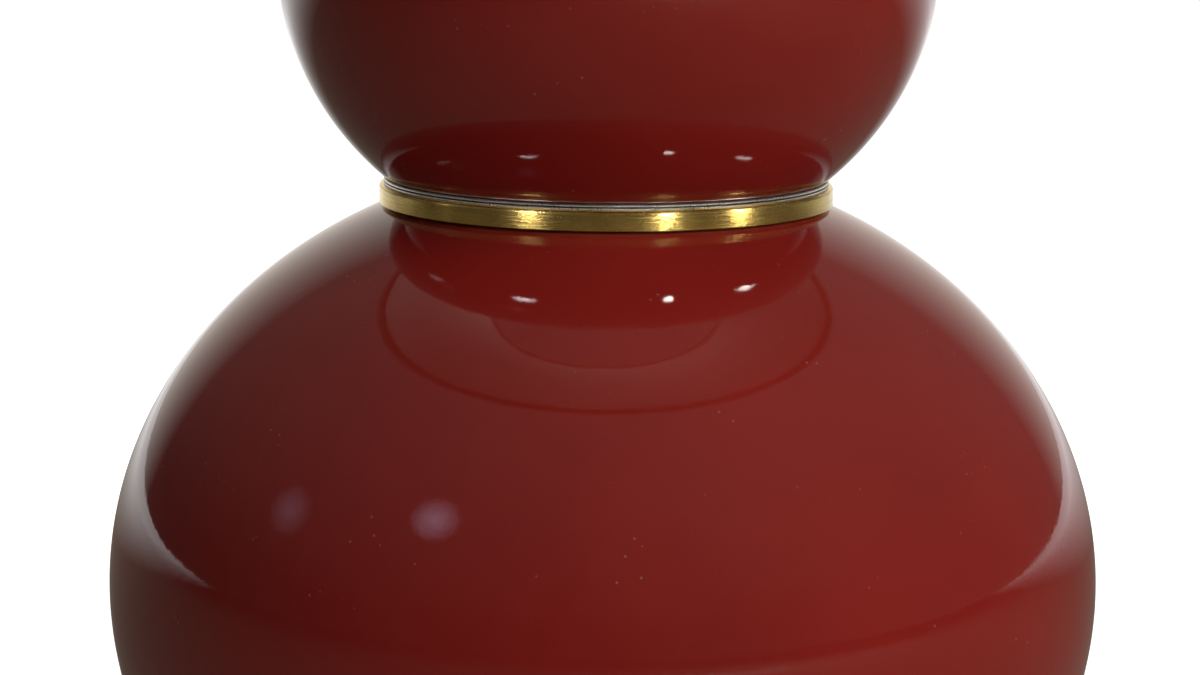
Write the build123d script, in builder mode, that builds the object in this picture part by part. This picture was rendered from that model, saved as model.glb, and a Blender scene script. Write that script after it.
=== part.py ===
"""Table lamp: a double gourd in glazed ceramic with a brass ring at its waist.

Millimetres, +Z up, origin on the floor at the middle of the lamp.
The harp's legs lie along X, the switch knob points to -Y and the cord gland to +Y.
"""

from build123d import *
import os
from math import acos, asin, atan2, cos, degrees, hypot, radians, sin, sqrt

os.makedirs("parts", exist_ok=True)

# ---------------------------------------------------------------- driving dimensions
# clearances
running_clearance = 0.08
fit_clearance = 0.1
seat_gap = 0.2
assembly_clearance = 0.3

# plinth
felt_thickness = 2.0
felt_inset = 4.0
plinth_radius = 92.0
plinth_height = 34.0
plinth_wall = 3.5
deck_thickness = 3.0
fascia_height = 14.0
fascia_step = 3.0
cove_depth = 6.0
bead_radius = 4.5
bead_overhang = 2.0
weight_thickness = 14.0
weight_edge_gap = 4.0
weight_round = 2.0
gland_rise = 6.5
gland_bore_radius = 3.2
gland_wall = 1.5
gland_flange_radius = 6.2
gland_flange_thickness = 2.2
gland_seat_depth = 0.6
gland_collar_rise = 0.9
gland_collar_length = 3.0

# threaded rod and its bottom hardware
rod_radius = 4.85
rod_bore_radius = 3.2
rod_tail = 1.0
rod_chamfer = 0.4
rod_nut_flats = 14.3
rod_nut_thickness = 3.2
rod_washer_radius = 13.0
rod_washer_thickness = 1.5

# ceramic gourds
ceramic_wall = 6.0
lower_gourd_radius = 145.0
lower_gourd_half_height = 123.5
lower_contact_radius = 64.0
foot_inset = 7.0
foot_ring_width = 15.0
foot_recess = 2.0
foot_floor_thickness = 9.0
foot_hole_radius = 8.0
foot_round = 1.5
foot_gasket_thickness = 1.5
foot_gasket_inset = 2.5
upper_gourd_radius = 95.0
upper_gourd_half_height = 86.5
upper_contact_radius = 64.5
mouth_radius = 56.0
neck_radius = 23.0
neck_height = 16.0
neck_blend_width = 9.0
neck_blend_height = 9.0
neck_lip_round = 1.0
rim_round = 0.6

# brass ring at the waist
waist_ring_radius = 66.0
waist_band_height = 5.5
waist_ring_wall = 3.0
waist_lip_height = 6.0
waist_edge_round = 0.9
waist_washer_radius = 64.6
waist_washer_thickness = 1.7
waist_washer_chamfer = 0.25
waist_gasket_thickness = 0.4
waist_gasket_inset = 1.5

# cap, check ring and turned neck
neck_gasket_thickness = 0.8
neck_gasket_inset = 1.0
cap_thickness = 1.4
cap_skirt_height = 6.0
cap_rim_bead_radius = 1.1
cap_boss_radius = 10.0
cap_boss_height = 4.0
check_ring_radius = 12.5
check_ring_thickness = 3.0
spindle_height = 28.0
spindle_foot_radius = 9.0
spindle_waist_radius = 6.6
spindle_head_radius = 8.2
spindle_foot_bead = 5.6
spindle_head_bead = 4.5
spindle_waist_rise = 15.4
spindle_bead_depth = 1.0

# harp saddle and harp
saddle_half_span = 31.0
saddle_width = 12.0
saddle_thickness = 1.6
harp_wire_radius = 2.4
harp_height = 241.0
harp_half_width = 58.0
harp_leg_length = 31.0
harp_swell_height = 72.0
harp_shoulder_radius = 44.0
harp_foot_length = 13.0
harp_split_gap = 0.3
harp_eye_radius = 9.0
harp_eye_thickness = 3.0
sleeve_length = 13.5
sleeve_wall = 1.4
sleeve_lip = 0.6
lock_washer_radius = 7.5
lock_washer_thickness = 0.8
lock_washer_teeth = 10
lock_washer_notch = 0.8

# swivel stud
stud_radius = 3.1
stud_flange_radius = 6.5
stud_flange_thickness = 2.4
stud_head_radius = 5.0
stud_head_thickness = 1.7
stud_thread_length = 14.0
stud_chamfer = 0.5

# lamp socket, heights counted from its seat on the lock washer
socket_radius = 17.0
socket_height = 62.0
shell_thickness = 0.6
shell_bead_radius = 0.8
shell_lip_width = 2.4
cap_hub_radius = 8.5
cap_hub_height = 7.0
cap_wall = 0.9
socket_cap_height = 20.0
rod_engagement = 8.5
set_screw_radius = 1.5
set_screw_height = 3.5
liner_wall = 0.7
switch_base_bottom = 13.0
switch_axis_height = 27.0
socket_body_height = 10.0
terminal_screw_radius = 1.4
terminal_head_radius = 2.8
terminal_head_thickness = 1.6
terminal_height = 19.5
terminal_flat = 12.3
terminal_ledge = 2.0
switch_shaft_radius = 2.0
switch_chamber_radius = 5.4
switch_chamber_depth = 8.0
rotor_radius = 5.0
shell_hole_radius = 3.0
knob_start = 19.4
knob_length = 13.5
knob_radius = 6.0
knob_taper = 4
knob_round = 1.6
knob_collar = 2.7
knob_flutes = 12
knob_flute_radius = 1.0
knob_flute_center = 6.4

# bulb
bulb_cap_radius = 13.0
bulb_cap_wall = 0.5
bulb_cap_height = 19.0
bulb_cap_shoulder = 2.0
bulb_cap_flange = 2.0
screw_shell_wall = 0.4
screw_shell_height = 21.5
screw_flange_inner_radius = 9.0
contact_strip_thickness = 0.5
contact_strip_width = 5.0
contact_rise = 3.2
tip_radius = 4.6
tip_thickness = 1.8
tip_land = 1.0
insulator_height = 4.5
insulator_radius = 11.6
bulb_radius = 30.0
bulb_glass_height = 89.0
bulb_neck_radius = 12.3
bulb_neck_height = 7.0
bulb_neck_rise = 1.5
bulb_neck_blend = 16.0
glass_thickness = 0.9
stem_radius = 1.8
stem_hub_radius = 4.0
stem_hub_thickness = 2.0
stem_flare_rise = 1.0
stem_flare_thickness = 1.5
stem_cone_height = 8.5
stem_collar_radius = 6.4
filament_rise = 19.0
filament_length = 48.0
filament_foot_radius = 5.2
filament_radius = 0.9
filament_count = 4

# shade
shade_top_radius = 185.0
shade_bottom_radius = 210.0
shade_height = 285.0
shade_recess = 14.0
linen_thickness = 0.6
liner_thickness = 0.5
shade_wire_radius = 2.2
trim_thickness = 0.5
trim_width = 12.0
trim_fold = 4.0
hub_radius = 9.5
hub_thickness = 2.0
arm_radius = 2.0
arm_angles = (90, 210, 330)

# finial
finial_insert_radius = 4.5
finial_insert_length = 12.5
finial_base_radius = 8.5
finial_ball_radius = 11.0
finial_neck_radius = 5.8
finial_tip_radius = 3.4
finial_base_height = 13.5
finial_rim_height = 3.0
finial_collar_height = 2.0
finial_waist_rise = 7.4
finial_tip_sink = 1.4
finial_swell = 0.6

# ---------------------------------------------------------------- heights and radii


def ellipse_rise(radius, half_width, half_height):
    """Height above an ellipse's centre at which its outline has this radius."""
    return half_height * sqrt(1 - (radius / half_width) ** 2)


def ellipse_angle(radius, half_width):
    """Angle on an ellipse at which its outline has this radius."""
    return degrees(acos(radius / half_width))


def circles(builder, radius):
    """The circular edges of this radius, lowest first."""
    edges = builder.edges().filter_by(GeomType.CIRCLE)
    return edges.filter_by(lambda edge: abs(edge.radius - radius) < 0.01).sort_by(Axis.Z)


plinth_bottom_z = felt_thickness
plinth_top_z = plinth_bottom_z + plinth_height
deck_bottom_z = plinth_top_z - deck_thickness
fascia_top_z = plinth_bottom_z + fascia_height
fascia_step_radius = plinth_radius - fascia_step
cove_radius = fascia_step_radius - cove_depth
bead_center_z = plinth_top_z - bead_radius
deck_radius = cove_radius + bead_overhang
plinth_inner_radius = cove_radius - plinth_wall
plinth_bore_radius = plinth_radius - plinth_wall
gland_z = plinth_bottom_z + gland_rise
gland_seat_y = plinth_radius - gland_seat_depth
gland_body_radius = gland_bore_radius + gland_wall
gland_collar_radius = gland_body_radius + gland_collar_rise
weight_bottom_z = deck_bottom_z - weight_thickness
rod_washer_bottom_z = weight_bottom_z - rod_washer_thickness
rod_nut_bottom_z = rod_washer_bottom_z - rod_nut_thickness
rod_bottom_z = rod_nut_bottom_z - rod_tail
rod_hole_radius = rod_radius + fit_clearance

foot_z = plinth_top_z + foot_gasket_thickness
foot_radius = deck_radius - foot_inset
lower_center_z = foot_z + ellipse_rise(foot_radius, lower_gourd_radius, lower_gourd_half_height)
lower_rim_z = lower_center_z + ellipse_rise(
    lower_contact_radius, lower_gourd_radius, lower_gourd_half_height
)
ring_bottom_z = lower_rim_z + waist_gasket_thickness
ring_top_z = ring_bottom_z + waist_band_height
washer_top_z = ring_top_z + waist_washer_thickness
upper_rim_z = washer_top_z + waist_gasket_thickness
upper_center_z = upper_rim_z + ellipse_rise(
    upper_contact_radius, upper_gourd_radius, upper_gourd_half_height
)
neck_start_z = upper_center_z + ellipse_rise(
    neck_radius, upper_gourd_radius, upper_gourd_half_height
)
neck_top_z = neck_start_z + neck_height
waist_lip_radius = mouth_radius - assembly_clearance

cap_seat_z = neck_top_z + neck_gasket_thickness
cap_top_z = cap_seat_z + cap_thickness
check_ring_z = cap_top_z + cap_boss_height
spindle_z = check_ring_z + check_ring_thickness
saddle_z = spindle_z + spindle_height
saddle_top_z = saddle_z + saddle_thickness
socket_z = saddle_top_z + lock_washer_thickness
rod_top_z = socket_z + rod_engagement

harp_wire_top_z = saddle_top_z + harp_leg_length
harp_widest_z = harp_wire_top_z + harp_swell_height
harp_eye_z = saddle_top_z + harp_height
harp_eye_bottom_z = harp_eye_z - harp_eye_thickness
harp_wire_end_z = harp_eye_z - harp_eye_thickness / 2
sleeve_bore_radius = harp_wire_radius + fit_clearance
sleeve_radius = sleeve_bore_radius + sleeve_wall

stud_flange_z = harp_eye_z + fit_clearance
hub_z = stud_flange_z + stud_flange_thickness
hub_top_z = hub_z + hub_thickness
stud_top_z = hub_z + stud_thread_length

shell_inner_radius = socket_radius - shell_thickness
liner_outer_radius = shell_inner_radius - seat_gap
liner_inner_radius = liner_outer_radius - liner_wall
socket_body_radius = liner_inner_radius - assembly_clearance
cap_inner_radius = socket_radius + fit_clearance
cap_outer_radius = cap_inner_radius + cap_wall
cap_dome_radius = cap_outer_radius - cap_hub_radius
switch_z = socket_z + switch_axis_height
body_top_z = switch_z + socket_body_height
screw_shell_inner_radius = bulb_cap_radius + fit_clearance
screw_shell_radius = screw_shell_inner_radius + screw_shell_wall
shell_top_z = socket_z + socket_height

bulb_tip_z = body_top_z + contact_rise + seat_gap
insulator_z = bulb_tip_z + tip_thickness / 2
bulb_cap_z = insulator_z + insulator_height
bulb_cap_top_z = bulb_cap_z + bulb_cap_height
bulb_glass_z = bulb_cap_top_z - bulb_neck_height
bulb_top_z = bulb_glass_z + bulb_glass_height
bulb_center_z = bulb_top_z - bulb_radius

shade_top_z = hub_z + shade_recess + shade_wire_radius + trim_fold
shade_bottom_z = shade_top_z - shade_height
shade_slope = (shade_bottom_radius - shade_top_radius) / shade_height


def shade_radius(z):
    """Outer radius of the linen at a height."""
    return shade_top_radius + (shade_top_z - z) * shade_slope


shade_wall = linen_thickness + liner_thickness
wire_inset = shade_wall + trim_thickness + shade_wire_radius + fit_clearance
top_wire_z = shade_top_z - trim_fold - shade_wire_radius
bottom_wire_z = shade_bottom_z + trim_fold + shade_wire_radius
top_wire_radius = shade_radius(top_wire_z) - wire_inset
bottom_wire_radius = shade_radius(bottom_wire_z) - wire_inset

# ---------------------------------------------------------------- plinth

with BuildPart() as felt_pad:
    with BuildSketch():
        Circle(plinth_radius - felt_inset)
    extrude(amount=felt_thickness)
felt_pad.part.label = "felt_pad"
export_step(felt_pad.part, "parts/felt_pad.step")


with BuildPart() as base_plinth:
    with BuildSketch(Plane.XZ):
        with BuildLine():
            fascia = Polyline(
                (plinth_bore_radius, plinth_bottom_z),
                (plinth_radius, plinth_bottom_z),
                (plinth_radius, fascia_top_z),
                (fascia_step_radius, fascia_top_z),
            )
            cove = EllipticalCenterArc(
                (fascia_step_radius, bead_center_z - bead_radius),
                cove_depth,
                bead_center_z - bead_radius - fascia_top_z,
                start_angle=270,
                arc_size=-90,
            )
            Line(cove @ 1, (deck_radius, bead_center_z - bead_radius))
            bead = CenterArc((deck_radius, bead_center_z), bead_radius, -90, 180)
            Polyline(
                bead @ 1,
                (rod_hole_radius, plinth_top_z),
                (rod_hole_radius, deck_bottom_z),
                (plinth_inner_radius, deck_bottom_z),
                (plinth_inner_radius, fascia_top_z + plinth_wall),
                (plinth_bore_radius, fascia_top_z - plinth_wall / 2),
                fascia @ 0,
            )
        make_face()
    revolve(axis=Axis.Z)
    fillet(circles(base_plinth, plinth_radius), fascia_step / 3)
    with BuildSketch(Plane.XZ.offset(-gland_seat_y)):
        with Locations((0, gland_z)):
            Circle(gland_flange_radius + fit_clearance)
    extrude(amount=-plinth_wall, mode=Mode.SUBTRACT)
    with BuildSketch(Plane.XZ.offset(-gland_seat_y)):
        with Locations((0, gland_z)):
            Circle(gland_body_radius + fit_clearance)
    extrude(amount=2 * plinth_wall, mode=Mode.SUBTRACT)
base_plinth.part.label = "base_plinth"
export_step(base_plinth.part, "parts/base_plinth.step")

with BuildPart() as base_weight:
    with BuildSketch(Plane.XY.offset(weight_bottom_z)):
        Circle(plinth_inner_radius - weight_edge_gap)
        Circle(rod_hole_radius, mode=Mode.SUBTRACT)
    extrude(amount=weight_thickness)
    fillet(base_weight.faces().sort_by(Axis.Z)[0].outer_wire().edges(), weight_round)
base_weight.part.label = "base_weight"
export_step(base_weight.part, "parts/base_weight.step")

# snap-in bushing that the mains cord passes through
gland_tail = gland_seat_y + fit_clearance - sqrt(plinth_bore_radius**2 - gland_collar_radius**2)
with BuildPart() as cord_gland:
    with BuildSketch(Plane.XY):
        with BuildLine():
            Polyline(
                (gland_bore_radius, gland_flange_thickness),
                (gland_flange_radius, gland_flange_thickness),
                (gland_flange_radius, 0),
                (gland_body_radius, 0),
                (gland_body_radius, -gland_tail),
                (gland_collar_radius, -gland_tail),
                (gland_body_radius, -gland_tail - gland_collar_length),
                (gland_bore_radius, -gland_tail - gland_collar_length),
                close=True,
            )
        make_face()
    revolve(axis=Axis.Y)
    outer_edges = cord_gland.edges().filter_by(GeomType.CIRCLE).sort_by(Axis.Y)[-2:]
    fillet(outer_edges, gland_wall / 2)
cord_gland.part.locate(Location((0, gland_seat_y, gland_z)))
cord_gland.part.label = "cord_gland"
export_step(cord_gland.part, "parts/cord_gland.step")

# ---------------------------------------------------------------- rod and bottom hardware

with BuildPart() as lamp_rod:
    with BuildSketch(Plane.XY.offset(rod_bottom_z)):
        Circle(rod_radius)
        Circle(rod_bore_radius, mode=Mode.SUBTRACT)
    extrude(amount=rod_top_z - rod_bottom_z)
    chamfer(circles(lamp_rod, rod_radius), rod_chamfer)
lamp_rod.part.label = "lamp_rod"
export_step(lamp_rod.part, "parts/lamp_rod.step")

with BuildPart() as rod_washer:
    with BuildSketch(Plane.XY.offset(rod_washer_bottom_z)):
        Circle(rod_washer_radius)
        Circle(rod_hole_radius, mode=Mode.SUBTRACT)
    extrude(amount=rod_washer_thickness)
rod_washer.part.label = "rod_washer"
export_step(rod_washer.part, "parts/rod_washer.step")

with BuildPart() as rod_nut:
    with BuildSketch(Plane.XY.offset(rod_nut_bottom_z)):
        RegularPolygon(rod_nut_flats / 2, 6, major_radius=False)
        Circle(rod_hole_radius, mode=Mode.SUBTRACT)
    extrude(amount=rod_nut_thickness)
rod_nut.part.label = "rod_nut"
export_step(rod_nut.part, "parts/rod_nut.step")

# ---------------------------------------------------------------- gourds and waist ring

with BuildPart() as foot_gasket:
    with BuildSketch(Plane.XY.offset(plinth_top_z)):
        Circle(foot_radius - foot_gasket_inset)
        Circle(foot_radius - foot_ring_width, mode=Mode.SUBTRACT)
    extrude(amount=foot_gasket_thickness)
foot_gasket.part.label = "foot_gasket"
export_step(foot_gasket.part, "parts/foot_gasket.step")

# the belly is two cast halves, luted together at its widest line
inner_radius = lower_gourd_radius - ceramic_wall
inner_half_height = lower_gourd_half_height - ceramic_wall
with BuildPart() as lower_gourd_bowl:
    foot_angle = ellipse_angle(foot_radius, lower_gourd_radius)
    floor_z = foot_z + foot_floor_thickness
    floor_angle = degrees(asin((lower_center_z - floor_z) / inner_half_height))
    with BuildSketch(Plane.XZ):
        with BuildLine():
            belly = EllipticalCenterArc(
                (0, lower_center_z),
                lower_gourd_radius,
                lower_gourd_half_height,
                start_angle=-foot_angle,
                arc_size=foot_angle,
            )
            hollow = EllipticalCenterArc(
                (0, lower_center_z),
                inner_radius,
                inner_half_height,
                start_angle=-floor_angle,
                arc_size=floor_angle,
            )
            Line(belly @ 1, hollow @ 1)
            Polyline(
                hollow @ 0,
                (foot_hole_radius, floor_z),
                (foot_hole_radius, foot_z + foot_recess),
                (foot_radius - foot_ring_width, foot_z + foot_recess),
                (foot_radius - foot_ring_width, foot_z),
                belly @ 0,
            )
        make_face()
    revolve(axis=Axis.Z)
    fillet(circles(lower_gourd_bowl, foot_radius), foot_round)
lower_gourd_bowl.part.label = "lower_gourd_bowl"
export_step(lower_gourd_bowl.part, "parts/lower_gourd_bowl.step")

with BuildPart() as lower_gourd_shoulder:
    rim_angle = ellipse_angle(lower_contact_radius, lower_gourd_radius)
    mouth_angle = ellipse_angle(mouth_radius, inner_radius)
    with BuildSketch(Plane.XZ):
        with BuildLine():
            belly = EllipticalCenterArc(
                (0, lower_center_z),
                lower_gourd_radius,
                lower_gourd_half_height,
                start_angle=0,
                arc_size=rim_angle,
            )
            hollow = EllipticalCenterArc(
                (0, lower_center_z),
                inner_radius,
                inner_half_height,
                start_angle=0,
                arc_size=mouth_angle,
            )
            Line(belly @ 0, hollow @ 0)
            Polyline(hollow @ 1, (mouth_radius, lower_rim_z), belly @ 1)
        make_face()
    revolve(axis=Axis.Z)
    fillet(circles(lower_gourd_shoulder, lower_contact_radius), rim_round)
lower_gourd_shoulder.part.label = "lower_gourd_shoulder"
export_step(lower_gourd_shoulder.part, "parts/lower_gourd_shoulder.step")

for gasket_name, gasket_z, contact_radius in (
    ("lower_waist_gasket", lower_rim_z, lower_contact_radius),
    ("upper_waist_gasket", washer_top_z, upper_contact_radius),
):
    with BuildPart() as waist_gasket:
        with BuildSketch(Plane.XY.offset(gasket_z)):
            Circle(contact_radius - waist_gasket_inset)
            Circle(mouth_radius + assembly_clearance, mode=Mode.SUBTRACT)
        extrude(amount=waist_gasket_thickness)
    waist_gasket.part.label = gasket_name
    export_step(waist_gasket.part, f"parts/{gasket_name}.step")

# brass band with a lip down into the lower mouth and a lip up into the upper one
with BuildPart() as waist_ring:
    with BuildSketch(Plane.XZ):
        with BuildLine():
            Polyline(
                (waist_lip_radius - waist_ring_wall, ring_bottom_z - waist_lip_height),
                (waist_lip_radius, ring_bottom_z - waist_lip_height),
                (waist_lip_radius, ring_bottom_z),
                (waist_ring_radius, ring_bottom_z),
                (waist_ring_radius, ring_top_z),
                (waist_lip_radius, ring_top_z),
                (waist_lip_radius, washer_top_z + waist_lip_height),
                (waist_lip_radius - waist_ring_wall, washer_top_z + waist_lip_height),
                close=True,
            )
        make_face()
    revolve(axis=Axis.Z)
    fillet(circles(waist_ring, waist_ring_radius)[-1], waist_edge_round)
    fillet(circles(waist_ring, waist_ring_radius)[0], waist_edge_round / 3)
waist_ring.part.label = "waist_ring"
export_step(waist_ring.part, "parts/waist_ring.step")

with BuildPart() as waist_washer:
    with BuildSketch(Plane.XY.offset(ring_top_z)):
        Circle(waist_washer_radius)
        Circle(waist_lip_radius + fit_clearance, mode=Mode.SUBTRACT)
    extrude(amount=waist_washer_thickness)
    chamfer(circles(waist_washer, waist_washer_radius), waist_washer_chamfer)
waist_washer.part.label = "waist_washer"
export_step(waist_washer.part, "parts/waist_washer.step")

with BuildPart() as upper_gourd:
    inner_radius = upper_gourd_radius - ceramic_wall
    inner_half_height = upper_gourd_half_height - ceramic_wall
    bore_radius = neck_radius - ceramic_wall
    blend_radius = neck_radius + neck_blend_width
    rim_angle = ellipse_angle(upper_contact_radius, upper_gourd_radius)
    blend_angle = ellipse_angle(blend_radius, upper_gourd_radius)
    mouth_angle = ellipse_angle(mouth_radius, inner_radius)
    bore_angle = ellipse_angle(bore_radius, inner_radius)
    with BuildSketch(Plane.XZ):
        with BuildLine():
            bulge_below = EllipticalCenterArc(
                (0, upper_center_z),
                upper_gourd_radius,
                upper_gourd_half_height,
                start_angle=-rim_angle,
                arc_size=rim_angle,
            )
            bulge_above = EllipticalCenterArc(
                (0, upper_center_z),
                upper_gourd_radius,
                upper_gourd_half_height,
                start_angle=0,
                arc_size=blend_angle,
            )
            # the blend's corner is where the bulge's tangent meets the neck
            tangent = bulge_above % 1
            corner_z = (bulge_above @ 1).Y - neck_blend_width * tangent.Y / tangent.X
            neck_blend = Bezier(
                bulge_above @ 1,
                (neck_radius, corner_z),
                (neck_radius, corner_z + neck_blend_height),
            )
            hollow_above = EllipticalCenterArc(
                (0, upper_center_z),
                inner_radius,
                inner_half_height,
                start_angle=0,
                arc_size=bore_angle,
            )
            hollow_below = EllipticalCenterArc(
                (0, upper_center_z),
                inner_radius,
                inner_half_height,
                start_angle=-mouth_angle,
                arc_size=mouth_angle,
            )
            Polyline(
                neck_blend @ 1,
                (neck_radius, neck_top_z),
                (bore_radius, neck_top_z),
                hollow_above @ 1,
            )
            Polyline(hollow_below @ 0, (mouth_radius, upper_rim_z), bulge_below @ 0)
        make_face()
    revolve(axis=Axis.Z)
    fillet(circles(upper_gourd, upper_contact_radius), rim_round)
    fillet(circles(upper_gourd, neck_radius)[-1], neck_lip_round)
upper_gourd.part.label = "upper_gourd"
export_step(upper_gourd.part, "parts/upper_gourd.step")

# ---------------------------------------------------------------- cap and turned neck

with BuildPart() as neck_gasket:
    with BuildSketch(Plane.XY.offset(neck_top_z)):
        Circle(neck_radius - neck_gasket_inset)
        Circle(neck_radius - ceramic_wall, mode=Mode.SUBTRACT)
    extrude(amount=neck_gasket_thickness)
neck_gasket.part.label = "neck_gasket"
export_step(neck_gasket.part, "parts/neck_gasket.step")

cap_skirt_radius = neck_radius + assembly_clearance
cap_bottom_z = cap_seat_z - cap_skirt_height
with BuildPart() as vase_cap:
    with BuildSketch(Plane.XZ):
        with BuildLine():
            Polyline(
                (rod_hole_radius, cap_seat_z),
                (cap_skirt_radius, cap_seat_z),
                (cap_skirt_radius, cap_bottom_z),
                (cap_skirt_radius + cap_thickness, cap_bottom_z),
                (cap_skirt_radius + cap_thickness, cap_top_z),
                (cap_boss_radius, cap_top_z),
                (cap_boss_radius, check_ring_z),
                (rod_hole_radius, check_ring_z),
                close=True,
            )
        make_face()
        with Locations((cap_skirt_radius + cap_rim_bead_radius, cap_bottom_z)):
            Circle(cap_rim_bead_radius)
    revolve(axis=Axis.Z)
    fillet(circles(vase_cap, cap_skirt_radius + cap_thickness)[-1], cap_thickness * 0.8)
    fillet(circles(vase_cap, cap_boss_radius)[0], cap_boss_height * 0.7)
vase_cap.part.label = "vase_cap"
export_step(vase_cap.part, "parts/vase_cap.step")

with BuildPart() as check_ring:
    with BuildSketch(Plane.XY.offset(check_ring_z)):
        Circle(check_ring_radius)
        Circle(rod_hole_radius, mode=Mode.SUBTRACT)
    extrude(amount=check_ring_thickness)
    fillet(circles(check_ring, check_ring_radius), check_ring_thickness * 0.45)
check_ring.part.label = "check_ring"
export_step(check_ring.part, "parts/check_ring.step")

with BuildPart() as neck_spindle:
    with BuildSketch(Plane.XZ):
        with BuildLine():
            foot_bead = ThreePointArc(
                (spindle_foot_radius - spindle_bead_depth, spindle_z),
                (spindle_foot_radius, spindle_z + spindle_foot_bead / 2),
                (spindle_foot_radius - spindle_bead_depth, spindle_z + spindle_foot_bead),
            )
            head_bead = ThreePointArc(
                (spindle_head_radius - spindle_bead_depth, saddle_z - spindle_head_bead),
                (spindle_head_radius, saddle_z - spindle_head_bead / 2),
                (spindle_head_radius - spindle_bead_depth, saddle_z),
            )
            ThreePointArc(
                foot_bead @ 1,
                (spindle_waist_radius, spindle_z + spindle_waist_rise),
                head_bead @ 0,
            )
            Polyline(
                head_bead @ 1,
                (rod_hole_radius, saddle_z),
                (rod_hole_radius, spindle_z),
                foot_bead @ 0,
            )
        make_face()
    revolve(axis=Axis.Z)
neck_spindle.part.label = "neck_spindle"
export_step(neck_spindle.part, "parts/neck_spindle.step")

# ---------------------------------------------------------------- saddle, harp and sleeves

with BuildPart() as harp_saddle:
    with BuildSketch(Plane.XY.offset(saddle_z)):
        SlotCenterToCenter(2 * saddle_half_span, saddle_width)
        Circle(rod_hole_radius, mode=Mode.SUBTRACT)
    extrude(amount=saddle_thickness)
    with BuildSketch(Plane.XY.offset(saddle_top_z)):
        with Locations((saddle_half_span, 0), (-saddle_half_span, 0)):
            Circle(harp_wire_radius)
        with Locations((saddle_half_span, 0), (-saddle_half_span, 0)):
            Rectangle(harp_split_gap, 2 * harp_wire_radius, mode=Mode.SUBTRACT)
        with Locations((saddle_half_span, 0)):
            Rectangle(
                harp_wire_radius,
                2 * harp_wire_radius,
                align=(Align.MIN, Align.CENTER),
                mode=Mode.SUBTRACT,
            )
        with Locations((-saddle_half_span, 0)):
            Rectangle(
                harp_wire_radius,
                2 * harp_wire_radius,
                align=(Align.MAX, Align.CENTER),
                mode=Mode.SUBTRACT,
            )
    extrude(amount=harp_foot_length)
harp_saddle.part.label = "harp_saddle"
export_step(harp_saddle.part, "parts/harp_saddle.step")

# each leg swells outward in two equal arcs, then an elliptical shoulder closes on the eye
swell_width = harp_half_width - saddle_half_span
swell_angle = 2 * degrees(atan2(swell_width, harp_swell_height))
swell_radius = harp_swell_height / (2 * sin(radians(swell_angle)))
shoulder_height = harp_wire_end_z - harp_widest_z
with BuildPart() as harp:
    with BuildLine(Plane.XZ) as harp_leg:
        leg = Line((saddle_half_span, saddle_top_z), (saddle_half_span, harp_wire_top_z))
        CenterArc(
            (saddle_half_span + swell_radius, harp_wire_top_z), swell_radius, 180, -swell_angle
        )
        CenterArc(
            (harp_half_width - swell_radius, harp_widest_z), swell_radius, -swell_angle, swell_angle
        )
        shoulder = EllipticalCenterArc(
            (harp_half_width - harp_shoulder_radius, harp_widest_z),
            harp_shoulder_radius,
            shoulder_height,
            start_angle=0,
            arc_size=90,
        )
        Line(shoulder @ 1, (harp_eye_radius - harp_wire_radius, harp_wire_end_z))
    with BuildSketch(Plane.XY.offset(saddle_top_z)):
        with Locations((saddle_half_span, 0)):
            Circle(harp_wire_radius)
    sweep(path=harp_leg.wires()[0])
    # the foot is cut to a half round that lies against the saddle's post
    with BuildSketch(Plane.XY.offset(saddle_top_z)):
        with Locations((saddle_half_span + harp_split_gap / 2, 0)):
            Rectangle(
                4 * harp_wire_radius,
                4 * harp_wire_radius,
                align=(Align.MAX, Align.CENTER),
            )
    extrude(amount=harp_foot_length + harp_split_gap, mode=Mode.SUBTRACT)
    mirror(about=Plane.YZ)
    with BuildSketch(Plane.XY.offset(harp_eye_bottom_z)):
        Circle(harp_eye_radius)
    extrude(amount=harp_eye_thickness)
    with BuildSketch(Plane.XY.offset(harp_eye_bottom_z - harp_wire_radius)):
        Circle(stud_radius + running_clearance)
    extrude(amount=harp_eye_thickness + 2 * harp_wire_radius, mode=Mode.SUBTRACT)
    # the wire is hammered flat where it meets the eye
    for flat_z, rise in ((harp_eye_z, harp_wire_radius), (harp_eye_bottom_z, -harp_wire_radius)):
        with BuildSketch(Plane.XY.offset(flat_z)):
            Circle(harp_eye_radius + harp_wire_radius)
        extrude(amount=rise, mode=Mode.SUBTRACT)
harp.part.label = "harp"
export_step(harp.part, "parts/harp.step")

for sleeve_name, side in (("left_sleeve", -1), ("right_sleeve", 1)):
    with BuildPart() as harp_sleeve:
        with BuildSketch(Plane.XZ):
            with BuildLine():
                Polyline(
                    (sleeve_bore_radius, saddle_top_z),
                    (sleeve_radius + sleeve_lip, saddle_top_z),
                    (sleeve_radius + sleeve_lip, saddle_top_z + 2 * sleeve_lip),
                    (sleeve_radius, saddle_top_z + 3 * sleeve_lip),
                    (sleeve_radius, saddle_top_z + sleeve_length),
                    (sleeve_bore_radius, saddle_top_z + sleeve_length),
                    close=True,
                )
            make_face()
        revolve(axis=Axis.Z)
        fillet(harp_sleeve.edges().filter_by(GeomType.CIRCLE).sort_by(Axis.Z)[-1], sleeve_wall / 3)
    harp_sleeve.part.locate(Location((side * saddle_half_span, 0, 0)))
    harp_sleeve.part.label = sleeve_name
    export_step(harp_sleeve.part, f"parts/{sleeve_name}.step")

with BuildPart() as lock_washer:
    with BuildSketch(Plane.XY.offset(saddle_top_z)):
        Circle(lock_washer_radius)
        Circle(rod_hole_radius, mode=Mode.SUBTRACT)
        with PolarLocations(lock_washer_radius, lock_washer_teeth):
            Circle(lock_washer_notch, mode=Mode.SUBTRACT)
    extrude(amount=lock_washer_thickness)
lock_washer.part.label = "lock_washer"
export_step(lock_washer.part, "parts/lock_washer.step")

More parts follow.
